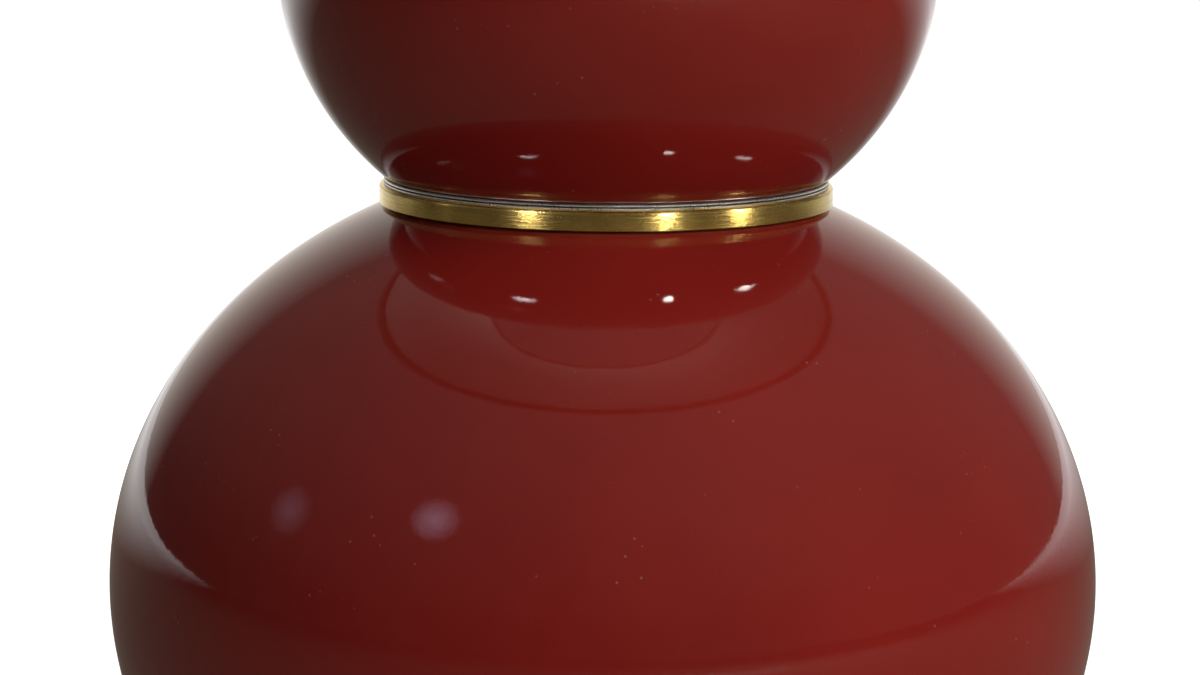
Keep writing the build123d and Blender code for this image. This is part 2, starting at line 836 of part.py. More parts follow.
# riveted loosely through the harp's eye, so that the shade can be swung round
with BuildPart() as swivel_stud:
    head_top_z = harp_eye_bottom_z - fit_clearance
    with BuildSketch(Plane.XZ):
        with BuildLine():
            Polyline(
                (0, head_top_z - stud_head_thickness),
                (stud_head_radius, head_top_z - stud_head_thickness),
                (stud_head_radius, head_top_z),
                (stud_radius, head_top_z),
                (stud_radius, stud_flange_z),
                (stud_flange_radius, stud_flange_z),
                (stud_flange_radius, hub_z),
                (stud_radius, hub_z),
                (stud_radius, stud_top_z - stud_chamfer),
                (stud_radius - stud_chamfer, stud_top_z),
                (0, stud_top_z),
                close=True,
            )
        make_face()
    revolve(axis=Axis.Z)
    fillet(
        swivel_stud.edges().filter_by(GeomType.CIRCLE).sort_by(Axis.Z)[0],
        stud_head_thickness * 0.6,
    )
swivel_stud.part.label = "swivel_stud"
export_step(swivel_stud.part, "parts/swivel_stud.step")

# ---------------------------------------------------------------- lamp socket

with BuildPart() as socket_cap:
    dome_z = socket_z + cap_hub_height + cap_dome_radius
    cap_rim_z = socket_z + socket_cap_height
    with BuildSketch(Plane.XZ):
        with BuildLine():
            outer_dome = CenterArc((cap_hub_radius, dome_z), cap_dome_radius, -90, 90)
            inner_dome = CenterArc((cap_hub_radius, dome_z), cap_dome_radius - cap_wall, 0, -90)
            Polyline(
                (rod_hole_radius, socket_z),
                (cap_hub_radius, socket_z),
                outer_dome @ 0,
            )
            Polyline(
                outer_dome @ 1,
                (cap_outer_radius, cap_rim_z),
                (cap_inner_radius, cap_rim_z),
                inner_dome @ 0,
            )
            Polyline(
                inner_dome @ 1,
                (rod_hole_radius, socket_z + cap_hub_height + cap_wall),
                (rod_hole_radius, socket_z),
            )
        make_face()
        with Locations((cap_outer_radius, cap_rim_z - shell_bead_radius)):
            Circle(shell_bead_radius)
        with Locations((cap_inner_radius, cap_rim_z - shell_bead_radius)):
            Rectangle(
                shell_bead_radius,
                4 * shell_bead_radius,
                align=(Align.MAX, Align.CENTER),
                mode=Mode.SUBTRACT,
            )
    revolve(axis=Axis.Z)
    with BuildSketch(Plane.XZ.offset(-rod_radius)):
        with Locations((0, socket_z + set_screw_height)):
            Circle(set_screw_radius)
    extrude(amount=-cap_hub_radius, mode=Mode.SUBTRACT)
socket_cap.part.label = "socket_cap"
export_step(socket_cap.part, "parts/socket_cap.step")

with BuildPart() as set_screw:
    screw_length = cap_hub_radius - rod_hole_radius
    with BuildSketch(Plane.XZ.offset(-rod_hole_radius)):
        with Locations((0, socket_z + set_screw_height)):
            Circle(set_screw_radius)
    extrude(amount=-screw_length)
    with BuildSketch(Plane.XZ.offset(-cap_hub_radius)):
        with Locations((0, socket_z + set_screw_height)):
            Rectangle(2 * set_screw_radius, set_screw_radius / 2)
    extrude(amount=set_screw_radius / 2, mode=Mode.SUBTRACT)
set_screw.part.label = "set_screw"
export_step(set_screw.part, "parts/set_screw.step")

with BuildPart() as socket_shell:
    shell_bottom_z = dome_z + fit_clearance
    with BuildSketch(Plane.XZ):
        with BuildLine():
            Polyline(
                (shell_inner_radius, shell_bottom_z),
                (socket_radius, shell_bottom_z),
                (socket_radius, shell_top_z),
                (socket_radius - shell_lip_width, shell_top_z),
                (socket_radius - shell_lip_width, shell_top_z - shell_thickness),
                (shell_inner_radius, shell_top_z - shell_thickness),
                close=True,
            )
        make_face()
        with Locations(
            (socket_radius, shell_top_z - 4 * shell_bead_radius),
            (socket_radius, cap_rim_z + 3 * shell_bead_radius),
        ):
            Circle(shell_bead_radius)
        with Locations((shell_inner_radius, (shell_bottom_z + shell_top_z) / 2)):
            Rectangle(
                4 * shell_bead_radius,
                shell_top_z - shell_bottom_z - 2 * shell_thickness,
                align=(Align.MAX, Align.CENTER),
                mode=Mode.SUBTRACT,
            )
    revolve(axis=Axis.Z)
    fillet(circles(socket_shell, socket_radius)[-1], shell_thickness * 0.7)
    with BuildSketch(Plane.XZ):
        with Locations((0, switch_z)):
            Circle(shell_hole_radius)
    extrude(amount=2 * socket_radius, mode=Mode.SUBTRACT)
socket_shell.part.label = "socket_shell"
export_step(socket_shell.part, "parts/socket_shell.step")

with BuildPart() as socket_liner:
    liner_top_z = shell_top_z - shell_thickness - seat_gap
    with BuildSketch(Plane.XY.offset(shell_bottom_z)):
        Circle(liner_outer_radius)
        Circle(liner_inner_radius, mode=Mode.SUBTRACT)
    extrude(amount=liner_top_z - shell_bottom_z)
    with BuildSketch(Plane.XZ):
        with Locations((0, switch_z)):
            Circle(shell_hole_radius)
    extrude(amount=2 * socket_radius, mode=Mode.SUBTRACT)
socket_liner.part.label = "socket_liner"
export_step(socket_liner.part, "parts/socket_liner.step")

# two moulded halves meet at the switch shaft and hold its rotor between them
shaft_bore_radius = switch_shaft_radius + running_clearance
base_bottom_z = socket_z + switch_base_bottom
chamber_back_y = switch_chamber_depth * 0.75
for half_name, half_bottom_z, half_top_z in (
    ("switch_base", base_bottom_z, switch_z),
    ("socket_body", switch_z, body_top_z),
):
    with BuildPart() as moulded_half:
        with BuildSketch(Plane.XY.offset(half_bottom_z)):
            Circle(socket_body_radius)
        extrude(amount=half_top_z - half_bottom_z)
        with BuildSketch(Plane.XZ.offset(-chamber_back_y - switch_shaft_radius)):
            with Locations((0, switch_z)):
                Circle(shaft_bore_radius)
        extrude(amount=2 * socket_body_radius, mode=Mode.SUBTRACT)
        with BuildSketch(Plane.XZ.offset(-chamber_back_y)):
            with Locations((0, switch_z)):
                Circle(switch_chamber_radius)
        extrude(amount=chamber_back_y + switch_chamber_depth, mode=Mode.SUBTRACT)
        if half_name == "switch_base":
            with BuildSketch(Plane.XY.offset(half_bottom_z)):
                with Locations((terminal_flat, 0)):
                    Rectangle(
                        socket_body_radius,
                        2 * socket_body_radius,
                        align=(Align.MIN, Align.CENTER),
                    )
                with Locations((-terminal_flat, 0)):
                    Rectangle(
                        socket_body_radius,
                        2 * socket_body_radius,
                        align=(Align.MAX, Align.CENTER),
                    )
            extrude(amount=half_top_z - half_bottom_z - terminal_ledge, mode=Mode.SUBTRACT)
            with BuildSketch(Plane.YZ.offset(-socket_body_radius)):
                with Locations((0, socket_z + terminal_height)):
                    Circle(terminal_screw_radius)
            extrude(amount=2 * socket_body_radius, mode=Mode.SUBTRACT)
    moulded_half.part.label = half_name
    export_step(moulded_half.part, f"parts/{half_name}.step")

with BuildPart() as terminal_screws:
    with BuildSketch(Plane.YZ.offset(terminal_flat)):
        with Locations((0, socket_z + terminal_height)):
            Circle(terminal_head_radius)
    extrude(amount=terminal_head_thickness)
    with BuildSketch(Plane.YZ.offset(terminal_flat)):
        with Locations((0, socket_z + terminal_height)):
            Circle(terminal_screw_radius)
    extrude(amount=-terminal_head_radius)
    with BuildSketch(Plane.YZ.offset(terminal_flat + terminal_head_thickness)):
        with Locations((0, socket_z + terminal_height)):
            Rectangle(2 * terminal_head_radius, terminal_screw_radius / 2)
    extrude(amount=-terminal_head_thickness / 3, mode=Mode.SUBTRACT)
    mirror(about=Plane.YZ)
terminal_screws.part.label = "terminal_screws"
export_step(terminal_screws.part, "parts/terminal_screws.step")

with BuildPart() as screw_shell:
    lip_z = body_top_z + screw_shell_height
    with BuildSketch(Plane.XZ):
        with BuildLine():
            Polyline(
                (screw_flange_inner_radius, body_top_z),
                (screw_shell_radius, body_top_z),
                (screw_shell_radius, lip_z),
                (screw_shell_inner_radius, lip_z),
                (screw_shell_inner_radius, body_top_z + screw_shell_wall),
                (screw_flange_inner_radius, body_top_z + screw_shell_wall),
                close=True,
            )
        make_face()
        with Locations((screw_shell_radius, lip_z - screw_shell_wall)):
            Circle(screw_shell_wall)
    revolve(axis=Axis.Z)
screw_shell.part.label = "screw_shell"
export_step(screw_shell.part, "parts/screw_shell.step")

# springy brass tongue that presses on the bulb's tip
with BuildPart() as centre_contact:
    strip_z = body_top_z + contact_strip_thickness / 2
    crest_z = body_top_z + contact_rise - contact_strip_thickness / 2
    with BuildSketch(Plane.XZ.offset(-contact_strip_width / 2)):
        with BuildLine():
            tongue_line = Polyline(
                (-1.6 * tip_radius, strip_z),
                (-0.8 * tip_radius, strip_z),
                (0.5 * tip_radius, crest_z),
                (tip_radius, crest_z),
            )
            offset(tongue_line, amount=contact_strip_thickness / 2, side=Side.BOTH)
        make_face()
    extrude(amount=contact_strip_width)
centre_contact.part.label = "centre_contact"
export_step(centre_contact.part, "parts/centre_contact.step")

with BuildPart() as switch_shaft:
    shaft_back_y = chamber_back_y + switch_shaft_radius - seat_gap
    with BuildSketch(Plane.XZ.offset(-shaft_back_y)):
        with Locations((0, switch_z)):
            Circle(switch_shaft_radius)
    extrude(amount=shaft_back_y + knob_start + knob_length / 2)
switch_shaft.part.label = "switch_shaft"
export_step(switch_shaft.part, "parts/switch_shaft.step")

with BuildPart() as switch_rotor:
    rotor_back_y = chamber_back_y - seat_gap
    with BuildSketch(Plane.XZ.offset(-rotor_back_y)):
        with Locations((0, switch_z)):
            Circle(rotor_radius)
        with Locations((0, switch_z + rotor_radius)):
            Rectangle(
                2 * rotor_radius,
                rotor_radius / 3,
                align=(Align.CENTER, Align.MAX),
                mode=Mode.SUBTRACT,
            )
        with Locations((0, switch_z)):
            Circle(switch_shaft_radius + fit_clearance / 2, mode=Mode.SUBTRACT)
    extrude(amount=rotor_back_y + switch_chamber_depth - seat_gap)
switch_rotor.part.label = "switch_rotor"
export_step(switch_rotor.part, "parts/switch_rotor.step")

with BuildPart() as switch_knob:
    with BuildSketch(Plane.XZ.offset(knob_start)):
        with Locations((0, switch_z)):
            Circle(knob_radius)
    extrude(amount=knob_length, taper=knob_taper)
    fillet(switch_knob.faces().sort_by(Axis.Y)[0].edges(), knob_round)
    with BuildSketch(Plane.XZ.offset(knob_start + knob_collar)):
        with Locations((0, switch_z)):
            with PolarLocations(knob_flute_center, knob_flutes):
                Circle(knob_flute_radius)
    extrude(amount=knob_length, mode=Mode.SUBTRACT)
    with BuildSketch(Plane.XZ.offset(knob_start)):
        with Locations((0, switch_z)):
            Circle(switch_shaft_radius + fit_clearance / 2)
    extrude(amount=knob_length / 2, mode=Mode.SUBTRACT)
switch_knob.part.label = "switch_knob"
export_step(switch_knob.part, "parts/switch_knob.step")

# ---------------------------------------------------------------- bulb

with BuildPart() as bulb_tip:
    with BuildSketch(Plane.XY.offset(bulb_tip_z)):
        Circle(tip_radius)
    extrude(amount=tip_thickness)
    fillet(bulb_tip.edges().sort_by(Axis.Z)[0], tip_thickness * 0.4)
bulb_tip.part.label = "bulb_tip"
export_step(bulb_tip.part, "parts/bulb_tip.step")

with BuildPart() as bulb_insulator:
    tip_pocket = tip_radius + running_clearance
    with BuildSketch(Plane.XZ):
        with BuildLine():
            Polyline(
                (tip_pocket, insulator_z),
                (tip_pocket + tip_land, insulator_z),
                (insulator_radius, bulb_cap_z),
                (0, bulb_cap_z),
                (0, bulb_tip_z + tip_thickness + seat_gap),
                (tip_pocket, bulb_tip_z + tip_thickness + seat_gap),
                close=True,
            )
        make_face()
    revolve(axis=Axis.Z)
bulb_insulator.part.label = "bulb_insulator"
export_step(bulb_insulator.part, "parts/bulb_insulator.step")

with BuildPart() as bulb_cap:
    with BuildSketch(Plane.XZ):
        with BuildLine():
            Polyline(
                (insulator_radius - bulb_cap_flange, bulb_cap_z),
                (insulator_radius, bulb_cap_z),
                (bulb_cap_radius, bulb_cap_z + bulb_cap_shoulder),
                (bulb_cap_radius, bulb_cap_top_z),
                (bulb_cap_radius - bulb_cap_wall, bulb_cap_top_z),
                (bulb_cap_radius - bulb_cap_wall, bulb_cap_z + bulb_cap_shoulder + bulb_cap_wall),
                (insulator_radius - bulb_cap_wall, bulb_cap_z + bulb_cap_wall),
                (insulator_radius - bulb_cap_flange, bulb_cap_z + bulb_cap_wall),
                close=True,
            )
        make_face()
    revolve(axis=Axis.Z)
bulb_cap.part.label = "bulb_cap"
export_step(bulb_cap.part, "parts/bulb_cap.step")


with BuildPart() as bulb_glass:
    neck_z = bulb_cap_top_z + bulb_neck_rise
    for inset, mode in ((0, Mode.ADD), (glass_thickness, Mode.SUBTRACT)):
        neck = bulb_neck_radius - inset
        globe = bulb_radius - inset
        drop = bulb_center_z - neck_z
        # the straight flare leaves the globe along its tangent through the neck's top
        touch = degrees(atan2(-drop, neck) + acos(globe / hypot(neck, drop)))
        with BuildSketch(Plane.XZ) as glass_section:
            with BuildLine():
                crown = CenterArc((0, bulb_center_z), globe, touch, 90 - touch)
                Polyline(
                    crown @ 1,
                    (0, bulb_glass_z),
                    (neck, bulb_glass_z),
                    (neck, neck_z),
                    crown @ 0,
                )
            make_face()
            fillet(glass_section.vertices().sort_by_distance((neck, neck_z))[0], bulb_neck_blend)
        revolve(axis=Axis.Z, mode=mode)
bulb_glass.part.label = "bulb_glass"
export_step(bulb_glass.part, "parts/bulb_glass.step")

filament_foot_z = bulb_glass_z + filament_rise
stem_top_z = filament_foot_z + filament_length
flare_top_z = bulb_glass_z + stem_flare_rise + stem_flare_thickness
with BuildPart() as bulb_stem:
    flare_radius = bulb_neck_radius - glass_thickness - fit_clearance
    with BuildSketch(Plane.XZ):
        with BuildLine():
            Polyline(
                (0, bulb_glass_z + stem_flare_rise),
                (flare_radius, bulb_glass_z + stem_flare_rise),
                (flare_radius, flare_top_z),
                (stem_hub_radius, flare_top_z + stem_cone_height),
                (stem_hub_radius, filament_foot_z - stem_hub_thickness),
                (stem_collar_radius, filament_foot_z - stem_hub_thickness),
                (stem_collar_radius, filament_foot_z),
                (stem_radius, filament_foot_z),
                (stem_radius, stem_top_z),
                (stem_hub_radius, stem_top_z),
                (stem_hub_radius, stem_top_z + stem_hub_thickness),
                (0, stem_top_z + stem_hub_thickness),
                close=True,
            )
        make_face()
    revolve(axis=Axis.Z)
bulb_stem.part.label = "bulb_stem"
export_step(bulb_stem.part, "parts/bulb_stem.step")

with BuildPart() as filaments:
    head_reach = stem_hub_radius - filament_radius
    for index in range(filament_count):
        turn = radians((index + 0.5) * 360 / filament_count)
        foot = Vector(
            filament_foot_radius * cos(turn), filament_foot_radius * sin(turn), filament_foot_z
        )
        head = Vector(head_reach * cos(turn), head_reach * sin(turn), stem_top_z)
        with BuildSketch(Plane(origin=foot, z_dir=Vector(0, 0, 1))) as filament_foot:
            Circle(filament_radius)
        with BuildSketch(Plane(origin=head, z_dir=Vector(0, 0, 1))) as filament_head:
            Circle(filament_radius)
        loft(sections=[filament_foot.sketch, filament_head.sketch])
filaments.part.label = "filaments"
export_step(filaments.part, "parts/filaments.step")

# ---------------------------------------------------------------- shade

for ring_name, wire_z, wire_ring_radius in (
    ("shade_top_ring", top_wire_z, top_wire_radius),
    ("shade_bottom_ring", bottom_wire_z, bottom_wire_radius),
):
    with BuildPart() as shade_ring:
        with BuildSketch(Plane.XZ):
            with Locations((wire_ring_radius, wire_z)):
                Circle(shade_wire_radius)
        revolve(axis=Axis.Z)
    shade_ring.part.label = ring_name
    export_step(shade_ring.part, f"parts/{ring_name}.step")

# three arms run from the hub to the top ring
with BuildPart() as shade_spider:
    with BuildSketch(Plane.XY.offset(hub_z)):
        Circle(hub_radius)
    extrude(amount=hub_thickness)
    inner_reach = hub_radius - arm_radius
    for arm_angle in arm_angles:
        turn = radians(arm_angle)
        start = Vector(
            inner_reach * cos(turn), inner_reach * sin(turn), hub_z + hub_thickness / 2
        )
        arm = Vector(top_wire_radius * cos(turn), top_wire_radius * sin(turn), top_wire_z) - start
        with BuildSketch(Plane(origin=start, z_dir=arm)):
            Circle(arm_radius)
        extrude(amount=arm.length - shade_wire_radius - fit_clearance)
    # the arms are pressed flat at the hub, under the finial and over the stud's flange
    for flat_z, rise in ((hub_top_z, arm_radius), (hub_z, -arm_radius)):
        with BuildSketch(Plane.XY.offset(flat_z)):
            Circle(hub_radius + arm_radius)
        extrude(amount=rise, mode=Mode.SUBTRACT)
    with BuildSketch(Plane.XY.offset(hub_z)):
        Circle(stud_radius + running_clearance)
    extrude(amount=hub_thickness, mode=Mode.SUBTRACT)
shade_spider.part.label = "shade_spider"
export_step(shade_spider.part, "parts/shade_spider.step")

for skin_name, outer_inset, thickness in (
    ("shade_linen", 0, linen_thickness),
    ("shade_liner", linen_thickness, liner_thickness),
):
    with BuildPart() as shade_skin:
        skin_top_z = shade_top_z - trim_thickness
        skin_bottom_z = shade_bottom_z + trim_thickness
        top_outer = shade_radius(skin_top_z) - outer_inset
        bottom_outer = shade_radius(skin_bottom_z) - outer_inset
        with BuildSketch(Plane.XZ):
            with BuildLine():
                Polyline(
                    (bottom_outer - thickness, skin_bottom_z),
                    (bottom_outer, skin_bottom_z),
                    (top_outer, skin_top_z),
                    (top_outer - thickness, skin_top_z),
                    close=True,
                )
            make_face()
        revolve(axis=Axis.Z)
    shade_skin.part.label = skin_name
    export_step(shade_skin.part, f"parts/{skin_name}.step")

# bias tape folded over each rim, short inside and wide outside
for trim_name, edge_z, inward in (
    ("shade_top_trim", shade_top_z, -1),
    ("shade_bottom_trim", shade_bottom_z, 1),
):
    with BuildPart() as shade_trim:
        skin_edge_z = edge_z + inward * trim_thickness
        outer_end_z = edge_z + inward * trim_width
        inner_end_z = edge_z + inward * (trim_fold - fit_clearance)
        with BuildSketch(Plane.XZ):
            with BuildLine():
                Polyline(
                    (shade_radius(outer_end_z), outer_end_z),
                    (shade_radius(outer_end_z) + trim_thickness, outer_end_z),
                    (shade_radius(edge_z) + trim_thickness, edge_z),
                    (shade_radius(edge_z) - shade_wall - trim_thickness, edge_z),
                    (shade_radius(inner_end_z) - shade_wall - trim_thickness, inner_end_z),
                    (shade_radius(inner_end_z) - shade_wall, inner_end_z),
                    (shade_radius(skin_edge_z) - shade_wall, skin_edge_z),
                    (shade_radius(skin_edge_z), skin_edge_z),
                    close=True,
                )
            make_face()
        revolve(axis=Axis.Z)
    shade_trim.part.label = trim_name
    export_step(shade_trim.part, f"parts/{trim_name}.step")

# ---------------------------------------------------------------- finial

finial_z = hub_top_z + seat_gap
with BuildPart() as finial_insert:
    with BuildSketch(Plane.XY.offset(finial_z)):
        Circle(finial_insert_radius)
        Circle(stud_radius + running_clearance, mode=Mode.SUBTRACT)
    extrude(amount=finial_insert_length)
finial_insert.part.label = "finial_insert"
export_step(finial_insert.part, "parts/finial_insert.step")

with BuildPart() as finial_knob:
    finial_neck_z = finial_z + finial_base_height
    ball_seat = sqrt(finial_ball_radius**2 - finial_neck_radius**2)
    ball_center_z = finial_neck_z + finial_collar_height + ball_seat
    tip_center_z = ball_center_z + finial_ball_radius + finial_tip_radius - finial_tip_sink
    with BuildSketch(Plane.XZ):
        with BuildLine():
            base_side = Polyline(
                (0, finial_z),
                (finial_base_radius, finial_z),
                (finial_base_radius, finial_z + finial_rim_height),
            )
            base_sweep = ThreePointArc(
                base_side @ 1,
                (finial_neck_radius + finial_swell, finial_z + finial_waist_rise),
                (finial_neck_radius, finial_neck_z),
            )
            Polyline(
                base_sweep @ 1,
                (finial_neck_radius, finial_neck_z + finial_collar_height),
                (0, finial_neck_z + finial_collar_height),
                (0, finial_z),
            )
        make_face()
        with Locations((0, ball_center_z)):
            Circle(finial_ball_radius)
        with Locations((0, tip_center_z)):
            Circle(finial_tip_radius)
        with Locations((0, ball_center_z)):
            Rectangle(
                2 * finial_ball_radius,
                8 * finial_ball_radius,
                align=(Align.MAX, Align.CENTER),
                mode=Mode.SUBTRACT,
            )
    revolve(axis=Axis.Z)
    with BuildSketch(Plane.XY.offset(finial_z)):
        Circle(finial_insert_radius + running_clearance)
    extrude(amount=finial_insert_length + seat_gap, mode=Mode.SUBTRACT)
finial_knob.part.label = "finial_knob"
export_step(finial_knob.part, "parts/finial_knob.step")

print(f"waist ring top at {ring_top_z:.1f} mm, harp eye at {harp_eye_z:.1f} mm")
print(f"shade from {shade_bottom_z:.1f} to {shade_top_z:.1f} mm")
print(f"finial top at {tip_center_z + finial_tip_radius:.1f} mm")
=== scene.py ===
"""Table lamp with a glazed double gourd body, a brass ring at its waist and a linen shade.

Metres, +Z up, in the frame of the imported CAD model.
"""

from math import asin, ceil, cos, hypot, pi, radians, sin, sqrt

import bmesh
import bpy
from mathutils import Matrix, Vector


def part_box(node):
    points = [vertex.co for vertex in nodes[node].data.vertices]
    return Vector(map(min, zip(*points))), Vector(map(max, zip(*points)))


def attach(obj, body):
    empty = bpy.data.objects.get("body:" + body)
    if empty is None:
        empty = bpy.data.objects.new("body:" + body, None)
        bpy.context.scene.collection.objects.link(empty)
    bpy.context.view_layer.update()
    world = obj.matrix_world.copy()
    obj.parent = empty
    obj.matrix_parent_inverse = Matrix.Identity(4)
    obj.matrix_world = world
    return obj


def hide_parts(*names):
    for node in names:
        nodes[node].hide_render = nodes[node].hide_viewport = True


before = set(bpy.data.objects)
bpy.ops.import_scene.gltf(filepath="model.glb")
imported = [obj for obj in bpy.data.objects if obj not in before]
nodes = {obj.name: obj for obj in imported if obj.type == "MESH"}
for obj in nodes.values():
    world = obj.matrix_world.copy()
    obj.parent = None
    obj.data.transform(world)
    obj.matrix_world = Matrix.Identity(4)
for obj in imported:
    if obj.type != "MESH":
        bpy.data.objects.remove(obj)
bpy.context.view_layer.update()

# ---------------------------------------------------------------- felt pad
# A disc of green wool felt, 2 mm thick, cut with a punch and glued under the plinth.


def add(tree, kind, inputs=None, **settings):
    """Adds a node; each input is a value or the socket that feeds it."""
    node = tree.nodes.new(kind)
    for key, value in settings.items():
        setattr(node, key, value)
    for socket, value in (inputs or {}).items():
        if isinstance(value, bpy.types.NodeSocket):
            tree.links.new(value, node.inputs[socket])
        else:
            node.inputs[socket].default_value = value
    return node


def finish_named(name, **values):
    """A new material; returns it, its tree and its shader with these values set."""
    made = bpy.data.materials.new(name)
    made.use_nodes = True
    shader = made.node_tree.nodes["Principled BSDF"]
    for socket, value in values.items():
        shader.inputs[socket.replace("_", " ")].default_value = value
    return made, made.node_tree, shader


def object_place(tree):
    """Object coordinates, in metres."""
    return add(tree, "ShaderNodeTexCoord").outputs["Object"]


def noise(tree, where, scale, detail=2.0, roughness=0.5):
    """Grey noise of this many cycles per metre."""
    return add(
        tree,
        "ShaderNodeTexNoise",
        {"Vector": where, "Scale": scale, "Detail": detail, "Roughness": roughness},
    ).outputs["Fac"]


def ramp(tree, value, low, high, start=0.0, end=1.0):
    """Maps low..high onto start..end, clamped."""
    return add(
        tree,
        "ShaderNodeMapRange",
        {"Value": value, "From Min": low, "From Max": high, "To Min": start, "To Max": end},
    ).outputs["Result"]


def math(tree, operation, first, second=0.0):
    """One Math node."""
    return add(tree, "ShaderNodeMath", {0: first, 1: second}, operation=operation).outputs[0]


def mix(tree, amount, first, second):
    """Mixes two colours."""
    node = tree.nodes.new("ShaderNodeMixRGB")
    for socket, value in (("Fac", amount), ("Color1", first), ("Color2", second)):
        if isinstance(value, bpy.types.NodeSocket):
            tree.links.new(value, node.inputs[socket])
        else:
            node.inputs[socket].default_value = value
    return node.outputs["Color"]


def relief(tree, shader, height, depth):
    """Bumps the shader's surface by this height, depth metres deep."""
    bump = add(tree, "ShaderNodeBump", {"Height": height, "Strength": 1.0, "Distance": depth})
    tree.links.new(bump.outputs["Normal"], shader.inputs["Normal"])


def feed(tree, shader, **sockets):
    """Links these outputs to the shader's inputs."""
    for socket, output in sockets.items():
        tree.links.new(output, shader.inputs[socket.replace("_", " ")])


def rounded(corners, rounds, pieces=6):
    """A polyline (radius, z) with each corner turned into an arc of the radius given for it."""
    run = []
    for i, (corner, size) in enumerate(zip(corners, rounds)):
        if not size:
            run.append(corner)
            continue
        here = Vector(corner)
        before = (Vector(corners[i - 1]) - here).normalized()
        after = (Vector(corners[(i + 1) % len(corners)]) - here).normalized()
        half = before.angle(after) / 2
        middle = here + (before + after).normalized() * (size / sin(half))
        reach = size * cos(half) / sin(half)
        first, last = here + before * reach - middle, here + after * reach - middle
        bend = first.angle(last)
        for k in range(pieces + 1):
            share = k / pieces
            spot = first * sin((1 - share) * bend) + last * sin(share * bend)
            run.append(tuple(middle + spot / sin(bend)))
    return run


def turned(name, profile, turns=192, closed=True):
    """A piece turned about the Z axis from its outline; its UV is (share of a turn, metres)."""
    mesh = bpy.data.meshes.new(name)
    points, faces, uvs = [], [], []
    run = [0.0]
    for (r0, z0), (r1, z1) in zip(profile, profile[1:] + profile[:1]):
        run.append(run[-1] + hypot(r1 - r0, z1 - z0))
    for radius, z in profile:
        for k in range(turns):
            angle = 2 * pi * k / turns + pi / 2
            points.append((radius * cos(angle), radius * sin(angle), z))
    for i in range(len(profile) if closed else len(profile) - 1):
        j = (i + 1) % len(profile)
        for k in range(turns):
            m = (k + 1) % turns
            faces.append((i * turns + k, i * turns + m, j * turns + m, j * turns + k))
            for u, v in ((k, i), (k + 1, i), (k + 1, i + 1), (k, i + 1)):
                uvs += (u / turns, run[v])
    mesh.from_pydata(points, [], faces)
    mesh.uv_layers.new(name="turned").data.foreach_set("uv", uvs)
    work = bmesh.new()
    work.from_mesh(mesh)
    bmesh.ops.remove_doubles(work, verts=work.verts, dist=1e-7)
    bmesh.ops.recalc_face_normals(work, faces=work.faces)
    work.to_mesh(mesh)
    work.free()
    mesh.shade_smooth()
    piece = bpy.data.objects.new(name, mesh)
    bpy.context.scene.collection.objects.link(piece)
    return piece


def wear(piece, finish, body, slot, *stands_for):
    """Gives a piece its material and its body, and hides the CAD nodes it stands for."""
    piece.data.materials.clear()
    piece.data.materials.append(finish)
    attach(piece, body)
    if stands_for:
        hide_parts(*stands_for)
    return piece


felt_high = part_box("felt_pad")[1]
felt_radius = felt_high.x
felt, tree, shader = finish_named("green felt", Roughness=0.95, Sheen_Weight=0.35)
where = object_place(tree)
matted = noise(tree, where, 700, 6, 0.7)
feed(
    tree,
    shader,
    Base_Color=mix(tree, matted, (0.018, 0.05, 0.02, 1), (0.05, 0.11, 0.05, 1)),
)
relief(tree, shader, matted, 0.0004)
felt_pad = turned(
    "felt_pad",
    rounded(
        [(0, 0), (felt_radius, 0), (felt_radius, felt_high.z), (0, felt_high.z)],
        [0, 0.0007, 0.0004, 0],
    ),
    closed=False,
)
wear(felt_pad, felt, "base", "felt", "felt_pad")

# ---------------------------------------------------------------- plinth
# A turned brass foot, satin and lacquered, with a cast-iron weight screwed up inside it.
# The CAD's own solids stay; their loose triangles are joined and shaded smooth.

join_distance, smooth_up_to = 1e-6, radians(28)
soft_edges = bpy.data.node_groups.new("soft edges", "GeometryNodeTree")
soft_edges.interface.new_socket("Geometry", in_out="INPUT", socket_type="NodeSocketGeometry")
soft_edges.interface.new_socket("Sharp over", in_out="INPUT", socket_type="NodeSocketFloat")
soft_edges.interface.new_socket("Geometry", in_out="OUTPUT", socket_type="NodeSocketGeometry")
entry = soft_edges.nodes.new("NodeGroupInput")
joined = add(
    soft_edges,
    "GeometryNodeMergeByDistance",
    {"Geometry": entry.outputs["Geometry"], "Distance": join_distance},
)
plain = add(
    soft_edges,
    "GeometryNodeRemoveAttribute",
    {"Geometry": joined.outputs[0], "Name": "custom_normal"},
)
smooth = add(
    soft_edges,
    "GeometryNodeSetShadeSmooth",
    {"Geometry": plain.outputs[0], "Shade Smooth": True},
    domain="FACE",
)
fold = add(
    soft_edges,
    "FunctionNodeCompare",
    {
        "A": add(soft_edges, "GeometryNodeInputMeshEdgeAngle").outputs["Unsigned Angle"],
        "B": entry.outputs["Sharp over"],
    },
    data_type="FLOAT",
    operation="GREATER_THAN",
)
sharp = add(
    soft_edges,
    "GeometryNodeSetShadeSmooth",
    {"Geometry": smooth.outputs[0], "Selection": fold.outputs[0], "Shade Smooth": False},
    domain="EDGE",
)
add(soft_edges, "NodeGroupOutput", {"Geometry": sharp.outputs[0]})
sharp_socket = next(
    item.identifier
    for item in soft_edges.interface.items_tree
    if item.name == "Sharp over" and item.in_out == "INPUT"
)


def dress(finish, *names):
    """Gives CAD nodes a material, and smooths their shading over shallow folds."""
    for name in names:
        node = nodes[name]
        if node.material_slots:
            for place in node.material_slots:
                place.material = finish
        else:
            node.data.materials.append(finish)
        softened = node.modifiers.new("soft edges", "NODES")
        softened.node_group = soft_edges
        softened[sharp_socket] = smooth_up_to


